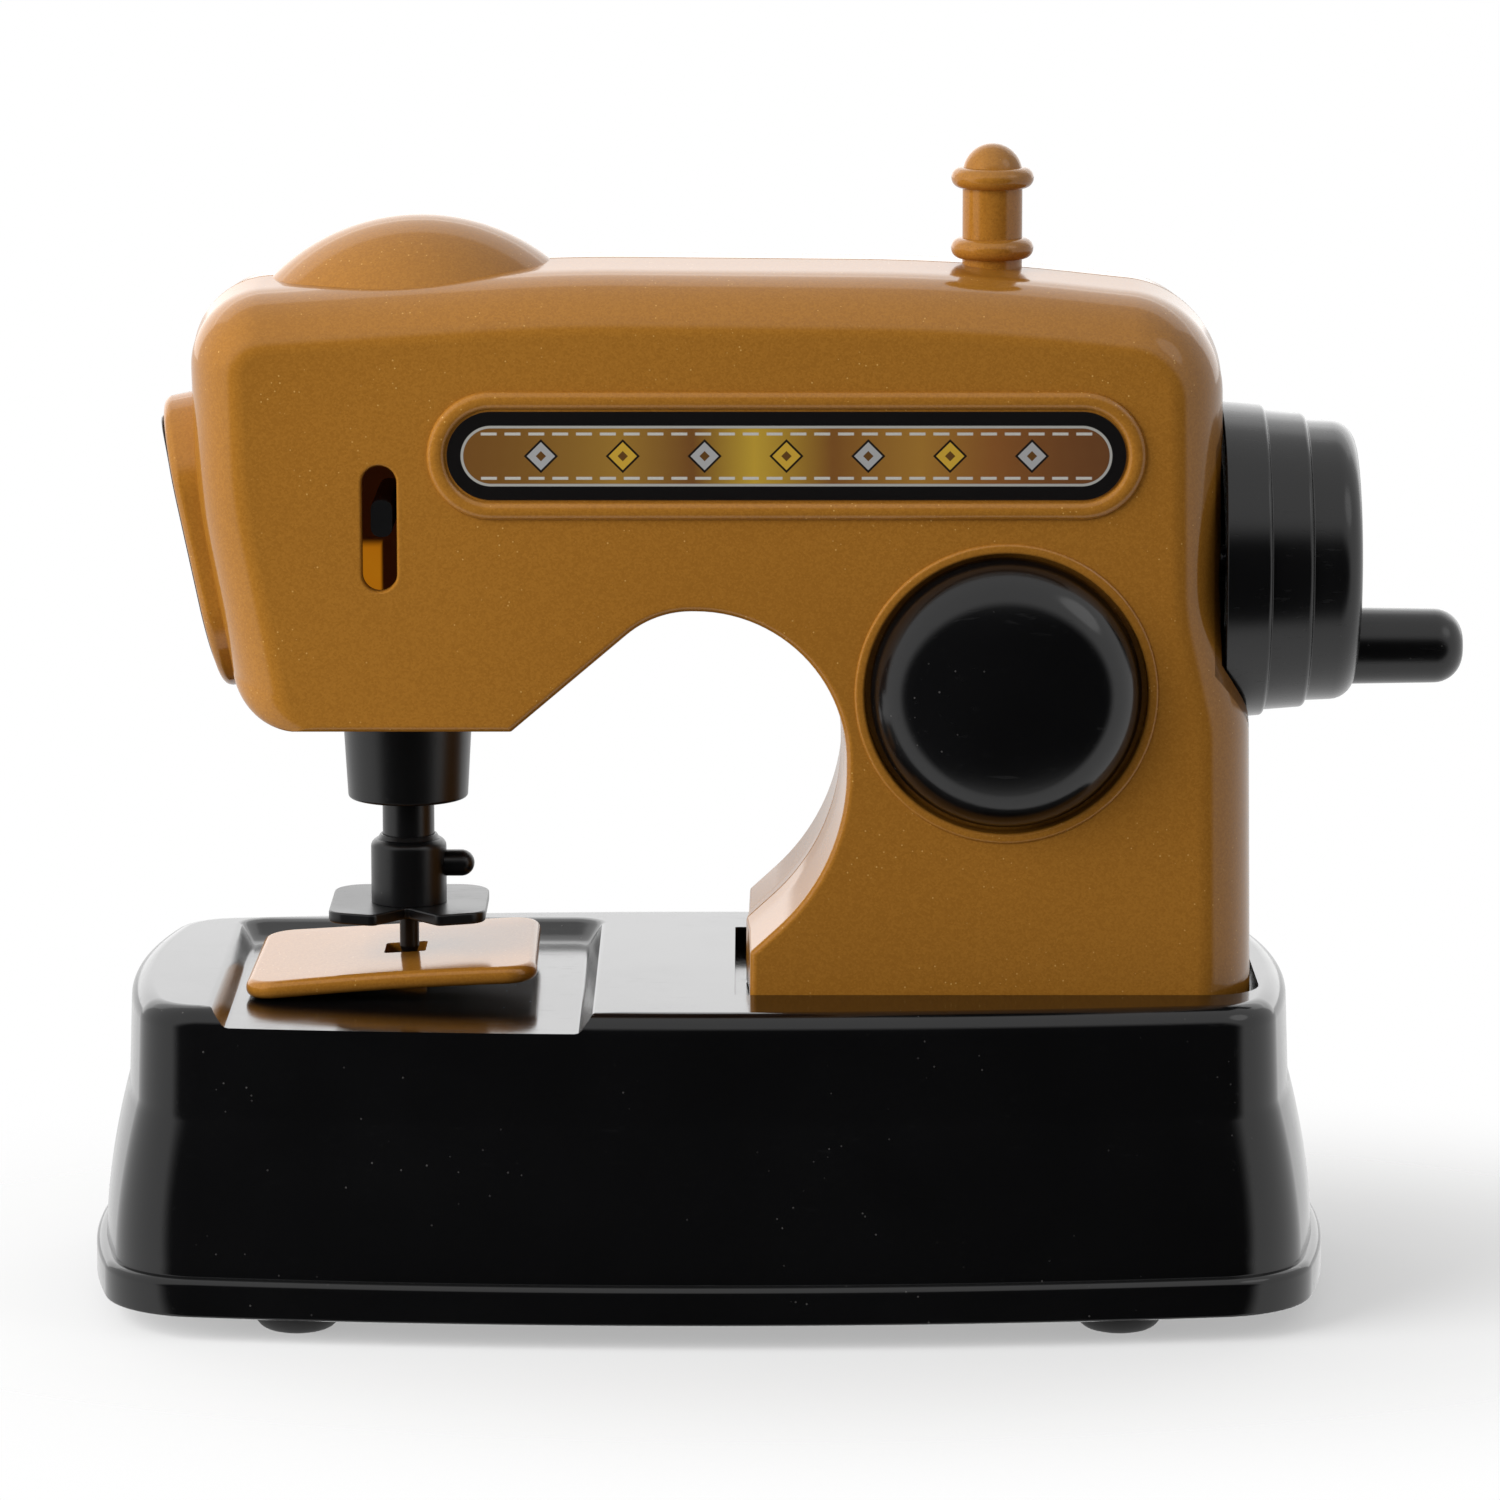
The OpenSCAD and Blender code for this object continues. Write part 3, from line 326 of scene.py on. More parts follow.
def edge(move, soft, crisp, face, turn):
    fall = 1 - math.sin(turn)
    row = []
    for x, r, z in with_cuts(body_row(move, soft, crisp, turn)):
        reach = r * (1 + ARCH * (r - crisp) / (soft - crisp))
        row.append((x, -face + reach * fall, z))
    return row


def outer_rows():
    flat = BODY_HALF - SOFT * (1 + ARCH)
    side = [level(DRAFT * s, SOFT, CRISP, s * flat * 0.98) for s in (0.1, 0.4, 0.7)]
    rim = [edge(DRAFT, SOFT, CRISP, BODY_HALF, quarter * k / 12) for k in range(13)]
    return [level(0.22, SOFT, CRISP, 0), level(0, SOFT, CRISP, 0.3)] + side + rim


def inner_rows():
    soft, move = SOFT - WALL, DRAFT + WALL
    rim = [edge(move, soft, LEAST, BODY_HALF - WALL, quarter * k / 4) for k in range(5)]
    return rim[::-1] + [level(WALL, soft, LEAST, 0)]


def mirrored(rows):
    return [[(x, -y, z) for x, y, z in row] for row in rows]


print("points in one row of the body", len(outer_rows()[0]))

# %% [markdown]
# The handwheel turns in a round seat that is sunk into the pillar's shoulder, and a sleeve guides
# the needle bar through the head's floor. Both are carved out of each half. Behind the seat stands
# a cup, trimmed to the skin, so that no light falls into the hollow body.

# %% Seat of the wheel and bore of the sleeve
SHAFT_Z, WHEEL_X, WHEEL_R = 101.5, 71.7, 21.85
SEAT_X, SEAT_R = WHEEL_X - 2.0, WHEEL_R + 0.8
SEAT_OPEN, CUP_OPEN, HUB_R = 95.0, 80.0, 2.1
NEEDLE_X, BORE_R = -41.8, 6.55


def half_body(name, side):
    sketch = Sketch()
    rows = inner_rows() + outer_rows()
    sketch.loft(mirrored(rows) if side > 0 else rows)
    shell = moulding(name, sketch)
    carve(shell, pin(SEAT_R, SEAT_X, SEAT_OPEN, (0, 0, SHAFT_Z), "x", 128))
    carve(shell, pin(BORE_R, 70, 90, (NEEDLE_X, 0, 0), "z"))
    return shell


def wheel_cup(side):
    skin = Sketch()
    skin.loft(mirrored(outer_rows()) if side > 0 else outer_rows())
    cup = Sketch()
    back, wall = SEAT_X - 1, SEAT_R + 2
    cup_profile = [
        (HUB_R, back), (wall, back), (wall, CUP_OPEN),
        (SEAT_R, CUP_OPEN), (SEAT_R, SEAT_X), (HUB_R, SEAT_X),
    ]
    turned(cup, cup_profile, (0, 0, SHAFT_Z), "x", closed=True)
    back_wall = moulding("wheel_cup", cup, half=-side)
    carve(back_wall, moulding("skin", skin), "INTERSECT")
    return back_wall


gold_front = half_body("gold_front_half", -1)
gold_back = half_body("gold_back_half", 1)
print("two halves", len(gold_front.data.polygons), len(gold_back.data.polygons))

# %% [markdown]
# A low domed crown stands on the head, and an oval pad on its outer end carries a sticker. They are
# whole shapes split by the parting plane, one half for each moulding. The crown is cut from a ball
# and a little narrower from front to back, which leaves a ledge in front of it.

# %% Crown and oval pad
DOME_X, DOME_R, DOME_TOP = -39.4, 28.8, 149.3
DOME_FOOT, DOME_NARROW = 21.6, 0.78
PAD_X, PAD_H, PAD_TILT = -70.9, 59.0, math.radians(11.6)
PAD_LEN, PAD_W, PAD_EDGE, PAD_ROOT = 41.0, 26.0, 1.3, -7.5


def crown_half(side):
    sketch = Sketch()
    arc = [math.asin(DOME_FOOT / DOME_R) * (1 - k / 24) for k in range(25)]
    profile = [(0, DOME_TOP - 12), (22.1, DOME_TOP - 12), (21.85, DOME_TOP - 10.6)]
    profile += [(DOME_R * math.sin(a), DOME_TOP - DOME_R * (1 - math.cos(a))) for a in arc]
    profile[-1] = (0, DOME_TOP)
    turned(sketch, profile, (DOME_X, 0, 0), "z", count=160)
    sketch.points = [(x, y * DOME_NARROW, z) for x, y, z in sketch.points]
    return moulding("crown", sketch, half=-side)


def oval(length, width, steps=24):
    r, reach = width / 2, (length - width) / 2
    arcs = [(reach, -90), (-reach, 90)]
    outline = []
    for c, start in arcs:
        turns = [math.radians(start + 180 * k / steps) for k in range(steps + 1)]
        outline += [(c + r * math.cos(a), r * math.sin(a)) for a in turns]
    return outline


def on_pad(u, v, out):
    c, s = math.cos(PAD_TILT), math.sin(PAD_TILT)
    return (PAD_X - out * c - u * s, v, deck_z + PAD_H - out * s + u * c)


def pad_half(side):
    sketch = Sketch()
    rows = [[on_pad(u, v, PAD_ROOT) for u, v in oval(PAD_LEN, PAD_W)]]
    for k in range(7):
        t = quarter * k / 6
        drop, rise = PAD_EDGE * (1 - math.cos(t)), -PAD_EDGE * (1 - math.sin(t))
        outline = oval(PAD_LEN - 2 * drop, PAD_W - 2 * drop)
        rows.append([on_pad(u, v, rise) for u, v in outline])
    sketch.loft(rows)
    return moulding("pad", sketch, half=-side)


front_extras = [wheel_cup(-1), crown_half(-1), pad_half(-1)]
back_extras = [wheel_cup(1), crown_half(1), pad_half(1)]
print("cup, crown and pad made for both halves")

# %% [markdown]
# The front half carries a raised frame round the label, a slot that the take-up pin slides in, and
# a shallow cup for the round knob. The slot's tool flares at the face, which leaves a soft lip.

# %% Label frame, thread slot and knob cup
FRAME_X, FRAME_H, FRAME_LEN, FRAME_W = 10.6, 74.0, 96.8, 17.4
SLOT_X, SLOT_H, SLOT_LEN, SLOT_W = -44.25, 64.05, 17.1, 4.7
KNOB_R, knob_place = 18.4, (40.4, 0, deck_z + 41.5)
ridge_shape = [
    (0, -0.6), (0, 0.1), (0.18, 0.45), (0.5, 0.68), (0.9, 0.79), (1.2, 0.8),
    (1.5, 0.79), (1.9, 0.68), (2.22, 0.45), (2.4, 0.1), (2.4, -0.6),
]


def on_front(u, v, out, x, h):
    return (x + u, -BODY_HALF - out, deck_z + h + v)


def in_frame(u, v, out):
    return on_front(u, v, out, FRAME_X, FRAME_H)


def ridge():
    sketch = Sketch()
    rings = []
    for inset, out in ridge_shape:
        outline = oval(FRAME_LEN - 2 * inset, FRAME_W - 2 * inset, 32)
        rings.append(sketch.row([in_frame(u, v, out) for u, v in outline]))
    for a, b in zip(rings, rings[1:] + rings[:1]):
        sketch.strip(a, b)
    return moulding("ridge", sketch)


def slot_tool():
    sketch = Sketch()
    flare = [(0, -4), (0, -0.6), (0.06, -0.3), (0.2, -0.1), (0.45, 0.01), (0.45, 1)]
    rows = []
    for grow, out in flare:
        outline = oval(SLOT_LEN + 2 * grow, SLOT_W + 2 * grow)
        rows.append([on_front(v, u, out, SLOT_X, SLOT_H) for u, v in outline])
    sketch.loft(rows)
    return moulding("slot_tool", sketch)


def knob_cup():
    bore, floor, lip = 4.1, -20.1, -BODY_HALF - 0.4
    hole, outside = KNOB_R + 0.8, KNOB_R + 0.8 + 1.4
    corners = [
        (bore, floor), (hole, floor, 0.3), (hole, lip, 0.4),
        (outside, lip, 0.5), (outside, floor + 2), (bore, floor + 2),
    ]
    return rod(eased(corners, closed=True), knob_place, "y", closed=True, count=160)


carve(gold_front, slot_tool())
carve(gold_front, pin(KNOB_R + 1.5, -24, -19, knob_place, "y"))
join(gold_front, ridge(), knob_cup(), *front_extras)
settle(gold_front, "body", "body_gold", "front_shell")

# %% [markdown]
# Five screws close the body from behind. Each sits deep in a well, so the back half gets five holes
# and a tube behind each one, down to the floor that the screw's head pulls on.

# %% Screw wells of the back half
WELL_R, WELL_WALL, SCREW_R = 2.8, 3.2, 1.3
screw_places = [(-60, 84.3), (-8, 86.3), (60, 81.6), (13.5, 8), (66, 8)]
tube = [
    (SCREW_R, 0), (WELL_WALL, 0), (WELL_WALL, 22.6), (WELL_R, 22.9), (WELL_R, 4), (SCREW_R, 4),
]
for x, h in screw_places:
    carve(gold_back, pin(WELL_R, 15, 24, (x, 0, deck_z + h), "y", 48))
for x, h in screw_places:
    join(gold_back, rod(tube, (x, 0, deck_z + h), "y", closed=True, count=48))
join(gold_back, *back_extras)
settle(gold_back, "body", "body_gold", "rear_shell")

# %% [markdown]
# ## The base
# The base is a black shell with bowed sides, a lipped rim, a wall that flares like a bell and a
# flat deck. Its plan is eight arcs that meet smoothly, and its section a list of steps: how far in
# from the rim, and how high. Spinning is no use here, so it is a loft of the plan, moved in.

# %% Plan of the base
BASE_A, BASE_B, BASE_H, RIM_Z = 85.6, 42.5, 43.0, 2.0
SIDE_BOW, END_BOW, CORNER_R = 7.0, 8.0, 15.0
side_r = (BASE_A ** 2 + SIDE_BOW ** 2) / (2 * SIDE_BOW)
end_r = (BASE_B ** 2 + END_BOW ** 2) / (2 * END_BOW)
side_off, end_off = side_r - BASE_B, end_r - BASE_A
side_reach, end_reach = side_r - CORNER_R, end_r - CORNER_R
balance = (end_reach ** 2 - side_reach ** 2 + side_off ** 2 - end_off ** 2) / 2
square = 1 + (end_off / side_off) ** 2
linear = 2 * end_off - 2 * end_off * balance / side_off ** 2
constant = end_off ** 2 + (balance / side_off) ** 2 - end_reach ** 2
corner_x = (-linear + math.sqrt(linear ** 2 - 4 * square * constant)) / (2 * square)
corner_y = (end_off * corner_x - balance) / side_off
side_turn = math.atan2(corner_x, corner_y + side_off)
end_turn = math.atan2(corner_y, corner_x + end_off)
plan_arcs = [
    ((0, -side_off), side_r, quarter + side_turn, quarter - side_turn, 36),
    ((corner_x, corner_y), CORNER_R, quarter - side_turn, end_turn, 20),
    ((-end_off, 0), end_r, end_turn, -end_turn, 20),
    ((corner_x, -corner_y), CORNER_R, -end_turn, side_turn - quarter, 20),
    ((0, side_off), side_r, side_turn - quarter, -quarter - side_turn, 36),
    ((-corner_x, -corner_y), CORNER_R, -quarter - side_turn, end_turn - 2 * quarter, 20),
    ((end_off, 0), end_r, end_turn - 2 * quarter, -2 * quarter - end_turn, 20),
    ((-corner_x, corner_y), CORNER_R, -2 * quarter - end_turn, side_turn - 3 * quarter, 20),
]


def base_row(move, height):
    row = []
    for (cx, cy), r, first, last, steps in plan_arcs:
        for i in range(steps):
            a = first + (last - first) * i / steps
            x, y = cx + (r - move) * math.cos(a), cy + (r - move) * math.sin(a)
            row.append((x, y, RIM_Z + height))
    return row


print("points in one row of the base", len(base_row(0, 0)))

# %% [markdown]
# The recess for the needle plate is open at the front. Its walls start in a shallow hollow and end
# in a soft lip, and it is the change of slope between the two that draws the bright and dark bands
# beside the plate. The tool is a loft of rounded rectangles that grow with height.


# %% Recess, socket and holes of the base
RECESS_X, RECESS_Z, RECESS_HALF, RECESS_BACK = -41.3, 42.5, 23.45, 22.6
RIM_LOW, RIM_TOP, RIM_ROUND, DECK_ROUND = 1.4, 6.8, 1.2, 3.0
recess_steps = [
    (0, 0, 0), (0.5, 1.6, 0.12), (0.85, 2.6, 0.4), (1.25, 3.8, 0.9), (2.1, 6.0, 2.0),
    (2.35, 6.7, 2.33), (2.7, 7.3, 2.47), (3.4, 8.2, 2.51), (3.4, 8.2, 4),
]
socket_corners = [(3.6, 23.3, 0.4), (75.5, 23.3, 7), (75.5, -23.3, 7), (3.6, -23.3, 0.4)]


def recess_tool():
    sketch = Sketch()
    rows = []
    for side, back, up in recess_steps:
        half, rear, r = RECESS_HALF + side, RECESS_BACK + back, 1.5 + side
        corners = [(-half, -60), (half, -60), (half, rear, r), (-half, rear, r)]
        outline = eased(corners, closed=True)
        rows.append([(RECESS_X + p.x, p.y, RECESS_Z + up) for p in outline])
    sketch.loft(rows)
    return moulding("recess_tool", sketch)


def rounded_over(start, top, r, steps):
    turns = [quarter * i / steps for i in range(steps + 1)]
    return [(start + r * (1 - math.cos(t)), top - r * (1 - math.sin(t))) for t in turns]


def base_shell():
    section = [(7.4, 38), (5.6, 29), (4.2, 16), (3.5, 8), (2, 6), (2, RIM_LOW)]
    section += [(0.5, RIM_LOW), (0.14, RIM_LOW + 0.15), (0, RIM_LOW + 0.5), (0, 4)]
    section += rounded_over(0, RIM_TOP, RIM_ROUND, 6) + [(1.42, 6.82), (1.5, 7)]
    section += [(1.5 + 3.5 * (i / 16) ** 1.7, 7 + 22 * i / 16) for i in range(1, 17)]
    section += [(5.2, 34.5)] + rounded_over(5.4, BASE_H, DECK_ROUND, 10)
    sketch = Sketch()
    sketch.loft([base_row(move, height) for move, height in section])
    return moulding("black_base", sketch)


black_base = base_shell()
carve(black_base, recess_tool())
carve(black_base, prism("socket_tool", socket_corners, 42, 50, 8))
carve(black_base, pin(2.3, 35, 47, (NEEDLE_X, 0, 0), "z", 48))
settle(black_base, "body", "base_black", "base_cover", crease=24)

# %% [markdown]
# A bottom plate closes the base inside the rim. It falls away from the rim to the middle, so from a
# normal height only the rim and the four domed feet show. The screws sit in round wells.

# %% Bottom plate and feet
UNDER_SCREW_X, UNDER_SCREW_Y, FOOT_X, FOOT_Y = 64.6, 18.5, 56.0, 29.0
FOOT_R, FOOT_SOFT, FOOT_RISE, FOOT_TOP = 6.0, 2.5, 2.6, 3.2
corner_signs = [(-1, -1), (-1, 1), (1, 1), (1, -1)]
under_sketch = Sketch()
under_sketch.loft([base_row(10.5, 0), base_row(2.3, RIM_LOW), base_row(2.3, 2)])
bottom_plate = moulding("black_bottom_plate", under_sketch)
for sx, sy in corner_signs:
    well_place = (UNDER_SCREW_X * sx, UNDER_SCREW_Y * sy, 0)
    carve(bottom_plate, pin(WELL_R, 1, 3.6, well_place, "z", 32))
settle(bottom_plate, "body", "bottom_black", "base_plate")
foot_profile = [(0, 0)]
for t in [quarter * i / 8 for i in range(9)]:
    foot_side = FOOT_R - FOOT_SOFT * (1 - math.sin(t))
    foot_profile.append((foot_side, FOOT_RISE - FOOT_RISE * math.cos(t)))
foot_profile += [(FOOT_R, FOOT_TOP), (0, FOOT_TOP)]
feet = []
for sx, sy in corner_signs:
    foot_place = (FOOT_X * sx, FOOT_Y * sy, 0)
    feet.append(rod(foot_profile, foot_place, "z", "black_feet", count=64))
join(*feet)
settle(feet[0], "body", "foot_rubber", "rubber_feet")

# %% [markdown]
# ## Needle plate and presser foot
# Both are thin plates with a rounded edge all round, as thin moulded plates have. An outline is
# eased at its corners, then repeated in rows that follow a half circle round the edge. The needle
# plate lies tipped in its recess, and its front edge is a little warped, as thin mouldings can be.


# %% Plates with a round edge
def round_edged(outline, thick, soft, steps=6):
    turns = [quarter * (i / steps - 1) for i in range(steps + 1)]
    low = [(soft * (1 - math.cos(t)), soft * (1 + math.sin(t))) for t in turns]
    rows = low + [(move, thick - up) for move, up in reversed(low)]
    n = len(outline)
    out = []
    for move, up in rows:
        row = []
        for i in range(n):
            along = (outline[(i + 1) % n] - outline[i - 1]).normalized()
            row.append((outline[i].x + along.y * move, outline[i].y - along.x * move, up))
        out.append(row)
    return out


def finely(outline, step=1.5):
    fine = []
    for a, b in zip(outline, outline[1:] + outline[:1]):
        parts = max(1, round((b - a).length / step))
        fine += [a.lerp(b, k / parts) for k in range(parts)]
    return fine


PLATE_X, PLATE_Y, PLATE_Z, PLATE_TILT = -42.8, 2.8, 42.6, math.radians(3.3)
PLATE_THICK, PLATE_EDGE, PLATE_CORNER = 2.5, 1.15, 4.5
PLATE_HALF, PLATE_BACK, PLATE_DEEP = 20.0, 18.2, 38.0
WARP_RISE, WARP_LENGTH = 0.45, 14.0
PEG_X, PEG_Y = -57.55, 10.92
plate_points = [(-20.3, PLATE_BACK), (18.9, PLATE_BACK), (19.4, -18.8), (-20.9, -20.0)]
hole_corners = [(-45.3, 5.6, 0.6), (-39.5, 5.6, 0.6), (-39.5, -1.8, 0.6), (-45.3, -1.8, 0.6)]


def tipped(p):
    c, s = math.cos(PLATE_TILT), math.sin(PLATE_TILT)
    x, y, z = p
    z += PLATE_HALF * s + WARP_RISE * math.cos(x / WARP_LENGTH) * (PLATE_BACK - y) / PLATE_DEEP
    return (PLATE_X + x * c - z * s, PLATE_Y + y, PLATE_Z + x * s + z * c)


plate_outline = finely(eased([(*p, PLATE_CORNER) for p in plate_points], closed=True, steps=10))
plate_rows = round_edged(plate_outline, PLATE_THICK, PLATE_EDGE)
shares = (0.25, 0.5, 0.75)
under = [[(x * f, y * f, z) for x, y, z in plate_rows[0]] for f in shares]
over = [[(x * f, y * f, z) for x, y, z in plate_rows[-1]] for f in reversed(shares)]
plate_sketch = Sketch()
plate_sketch.loft([[tipped(p) for p in row] for row in under + plate_rows + over])
gold_plate = moulding("gold_needle_plate", plate_sketch)
carve(gold_plate, prism("plate_slot_tool", hole_corners, 40, 52))
for y in (-PEG_Y, PEG_Y):
    join(gold_plate, pin(1.6, 40.5, 44, (PEG_X, PLATE_Y + y, 0), "z", 32))
settle(gold_plate, "body", "plate_gold", "needle_plate")

# %% Presser foot
PRESSER_Z, PRESSER_THICK, PRESSER_EDGE = 51.9, 1.6, 0.3
presser_corners = [
    (-10.85, 12.2, 4.5), (10.85, 12.2, 4.5), (10.85, -8.23, 3), (4.45, -10.5, 1.2),
    (0, -5.05, 0.6), (-4.45, -10.5, 1.2), (-10.85, -8.23, 3),
]
presser_outline = eased(presser_corners, closed=True, steps=10)
presser_rows = round_edged(presser_outline, PRESSER_THICK, PRESSER_EDGE, 4)
presser_sketch = Sketch()
presser_sketch.loft([[(NEEDLE_X + x, y, PRESSER_Z + z) for x, y, z in row] for row in presser_rows])
black_foot = moulding("black_presser_foot", presser_sketch)
carve(black_foot, pin(1.4, 50, 56, (NEEDLE_X, 0, 0), "z", 32))
settle(black_foot, "needle_group", "needle_black", "presser_foot")

# %% [markdown]
# ## Turned pieces
# The handwheel is a cup of three steps with a rounded nose, the crank handle a tapered peg with a
# round end, the knob a shallow dome. Each is one eased profile, turned about its own axis.

# %% Handwheel and crank handle
wheel_corners = [
    (2.8, 16.1), (2.8, 17.3, 0.3), (19.1, 17.3, 3.4), (19.4, 10.4, 0.25),
    (20.25, 10.4, 0.75), (20.7, 4.7, 0.2), (21.4, 4.7, 0.6), (21.95, -1.5, 0.3),
    (16.7, -1.5, 0.3), (16.7, 15.6, 0.6), (5.5, 15.6, 0.6), (5.5, 1.5, 0.3),
    (2.05, 1.5), (2.05, 13), (1.3, 13), (1.3, 16.1),
]
wheel_profile = eased(wheel_corners, closed=True, steps=8)
drum = rod(wheel_profile, (WHEEL_X, 0, SHAFT_Z), "x", "black_handwheel", True, 160)
settle(drum, "wheel", "wheel_black", "handwheel")
HANDLE_OUT, HANDLE_DROP = 18.0, 12.0
handle_corners = [
    (0, -5.4), (4.4, -5.4, 0.3), (4.4, -0.7), (5.3, -0.7), (5.06, 14.6, 4), (0, 14.6),
]
handle_place = (WHEEL_X + HANDLE_OUT, 0, SHAFT_Z - HANDLE_DROP)
handle = rod(eased(handle_corners, steps=10), handle_place, "x", "black_crank_handle")
settle(handle, "wheel", "wheel_black", "crank_handle")

# %% Front knob
KNOB_CHORD, KNOB_SAG, KNOB_TOP = 12.8, 1.8, 8.0
dome_r = (KNOB_CHORD ** 2 + KNOB_SAG ** 2) / (2 * KNOB_SAG)
dome_turn = math.asin(KNOB_CHORD / dome_r)
rim_r = (KNOB_R - KNOB_CHORD) / (1 - math.sin(dome_turn))
rim_low = KNOB_TOP - KNOB_SAG - rim_r * math.cos(dome_turn)
dome_arc = [dome_turn * i / 14 for i in range(15)]
rim_arc = [dome_turn + (quarter - dome_turn) * i / 16 for i in range(1, 17)]
knob_profile = [(dome_r * math.sin(a), KNOB_TOP - dome_r * (1 - math.cos(a))) for a in dome_arc]
for a in rim_arc:
    knob_profile.append((KNOB_R - rim_r * (1 - math.sin(a)), rim_low + rim_r * math.cos(a)))
knob_profile += [
    (KNOB_R, -2.2), (18.0, -2.6), (16.4, -2.6), (16.4, 1.7), (4, 1.7),
    (4, -5.2), (1.3, -5.2), (1.3, 2.5), (0, 2.5),
]
knob_profile = [(r, -BODY_HALF - s) for r, s in knob_profile]
knob = rod(knob_profile, knob_place, "y", "black_front_knob", count=160)
settle(knob, "knob", "knob_black", "front_knob", crease=35)

# %% Sleeve and clamp of the needle bar
sleeve_corners = [
    (3.65, 68.3, 0.2), (8.3, 68.3, 0.5), (9, 80.7), (6.5, 80.7), (6.5, 87.7), (3.65, 87.7),
]
sleeve = rod(eased(sleeve_corners, closed=True), (NEEDLE_X, 0, 0), "z", "black_bar_sleeve", True)
settle(sleeve, "body", "bush_black", "bar_bush")
clamp_corners = [
    (3.65, 53.5), (5.25, 53.5, 0.1), (5.25, 62.5, 1.2),
    (4.3, 62.5, 0.1), (3.9, 63.1, 0.1), (3.65, 63.1),
]
clamp = rod(eased(clamp_corners, closed=True), (NEEDLE_X, 0, 0), "z", "black_needle_clamp", True)
settle(clamp, "needle_group", "needle_black", "needle_clamp")

# %% [markdown]
# ## Stickers
# Two thin stickers: one in the raised frame on the front, one on the oval pad, its top edge a bit
# lifted. They are thin ovals with a soft edge; the print is a finish, drawn later by nodes.


# %% The two stickers
FRONT_LEN, FRONT_W, SIDE_LEN, SIDE_W, PAPER = 91.4, 12.0, 36.2, 21.2, 0.25
PEEL_FROM, PEEL_SPAN, PEEL_RISE = 12.0, 6.0, 0.5


def sticker(name, length, width, lay):
    sketch = Sketch()
    outline = [Vector(p) for p in reversed(oval(length, width, 40))]
    rows = round_edged(outline, PAPER, PAPER * 0.45, 3)
    sketch.loft([[lay(*p) for p in row] for row in rows])
    return moulding(name, sketch)


def lifted(u, v, out):
    peel = max(0, u - PEEL_FROM) / PEEL_SPAN
    return on_pad(u, v, out + PEEL_RISE * peel ** 2)


front_sticker = sticker("front_sticker", FRONT_LEN, FRONT_W, in_frame)
settle(front_sticker, "body", "front_print", "front_label")
side_sticker = sticker("side_sticker", SIDE_LEN, SIDE_W, lifted)
settle(side_sticker, "body", "side_print", "side_label")

# %% [markdown]
# ## Finishes
# Each finish is a small set of nodes on the piece's own coordinates, so it moves with the piece.
# One helper adds a node and links or sets its inputs, and a few more give noise, specks and blends.


# %% Node helpers
def put(tree, kind, inputs=None, **settings):
    node = tree.nodes.new("ShaderNode" + kind)
    for key, value in settings.items():
        setattr(node, key, value)
    for key, value in (inputs or {}).items():
        if isinstance(value, bpy.types.NodeSocket):
            tree.links.new(value, node.inputs[key])
        else:
            node.inputs[key].default_value = value
    return node


def sum_of(tree, how, a, b=0.0):
    return put(tree, "Math", {0: a, 1: b}, operation=how).outputs[0]


def steps_of(tree, value, low, high, to_low=0.0, to_high=1.0):
    keys = {"Value": value, "From Min": low, "From Max": high, "To Min": to_low, "To Max": to_high}
    return put(tree, "MapRange", keys, interpolation_type="SMOOTHSTEP").outputs[0]


def blend(tree, share, a, b):
    node = put(tree, "Mix", data_type="RGBA")
    for key, value in (("Factor", share), ("A", a), ("B", b)):
        socket = [s for s in node.inputs if s.name == key and s.enabled][0]
        if isinstance(value, bpy.types.NodeSocket):
            tree.links.new(value, socket)
        else:
            socket.default_value = (*value, 1) if isinstance(value, tuple) else value
    return [s for s in node.outputs if s.enabled][0]


def grain(tree, where, scale, detail=3.0):
    return put(tree, "TexNoise", {"Vector": where, "Scale": scale, "Detail": detail}).outputs["Fac"]


def specks(tree, where, scale, size):
    far = put(tree, "TexVoronoi", {"Vector": where, "Scale": scale}).outputs["Distance"]
    return steps_of(tree, far, size, size * 0.5)


def new_finish(name, **sockets):
    material = bpy.data.materials.new(name)
    material.use_nodes = True
    tree = material.node_tree
    skin = tree.nodes["Principled BSDF"]
    for key, value in sockets.items():
        skin.inputs[key.replace("_", " ")].default_value = value
    where = tree.nodes.new("ShaderNodeTexCoord").outputs["Object"]
    return material, tree, skin.inputs, where


def rough_bump(tree, skin, height, strength, distance=0.0001):
    bump = put(tree, "Bump", {"Height": height, "Strength": strength, "Distance": distance})
    tree.links.new(bump.outputs[0], skin["Normal"])


print("node helpers ready, from put to rough_bump")

# %% [markdown]
# The gold is a pearl plastic: a warm brown-gold with fine metal flecks in it, a soft gloss and slow
# flow marks from the moulding. Tiny cells give the flecks, a broad noise the flow, and a thin clear
# coat the crisp highlights on top of a wider sheen.


# %% Pearl gold
GOLD_DEEP, GOLD_BRIGHT, GOLD_FLAKE = (0.355, 0.145, 0.018), (0.44, 0.188, 0.026), (0.72, 0.42, 0.12)
clear_coat = {"Metallic": 0.1, "Specular_IOR_Level": 0.0, "Coat_Weight": 0.7, "Coat_Roughness": 0.1}


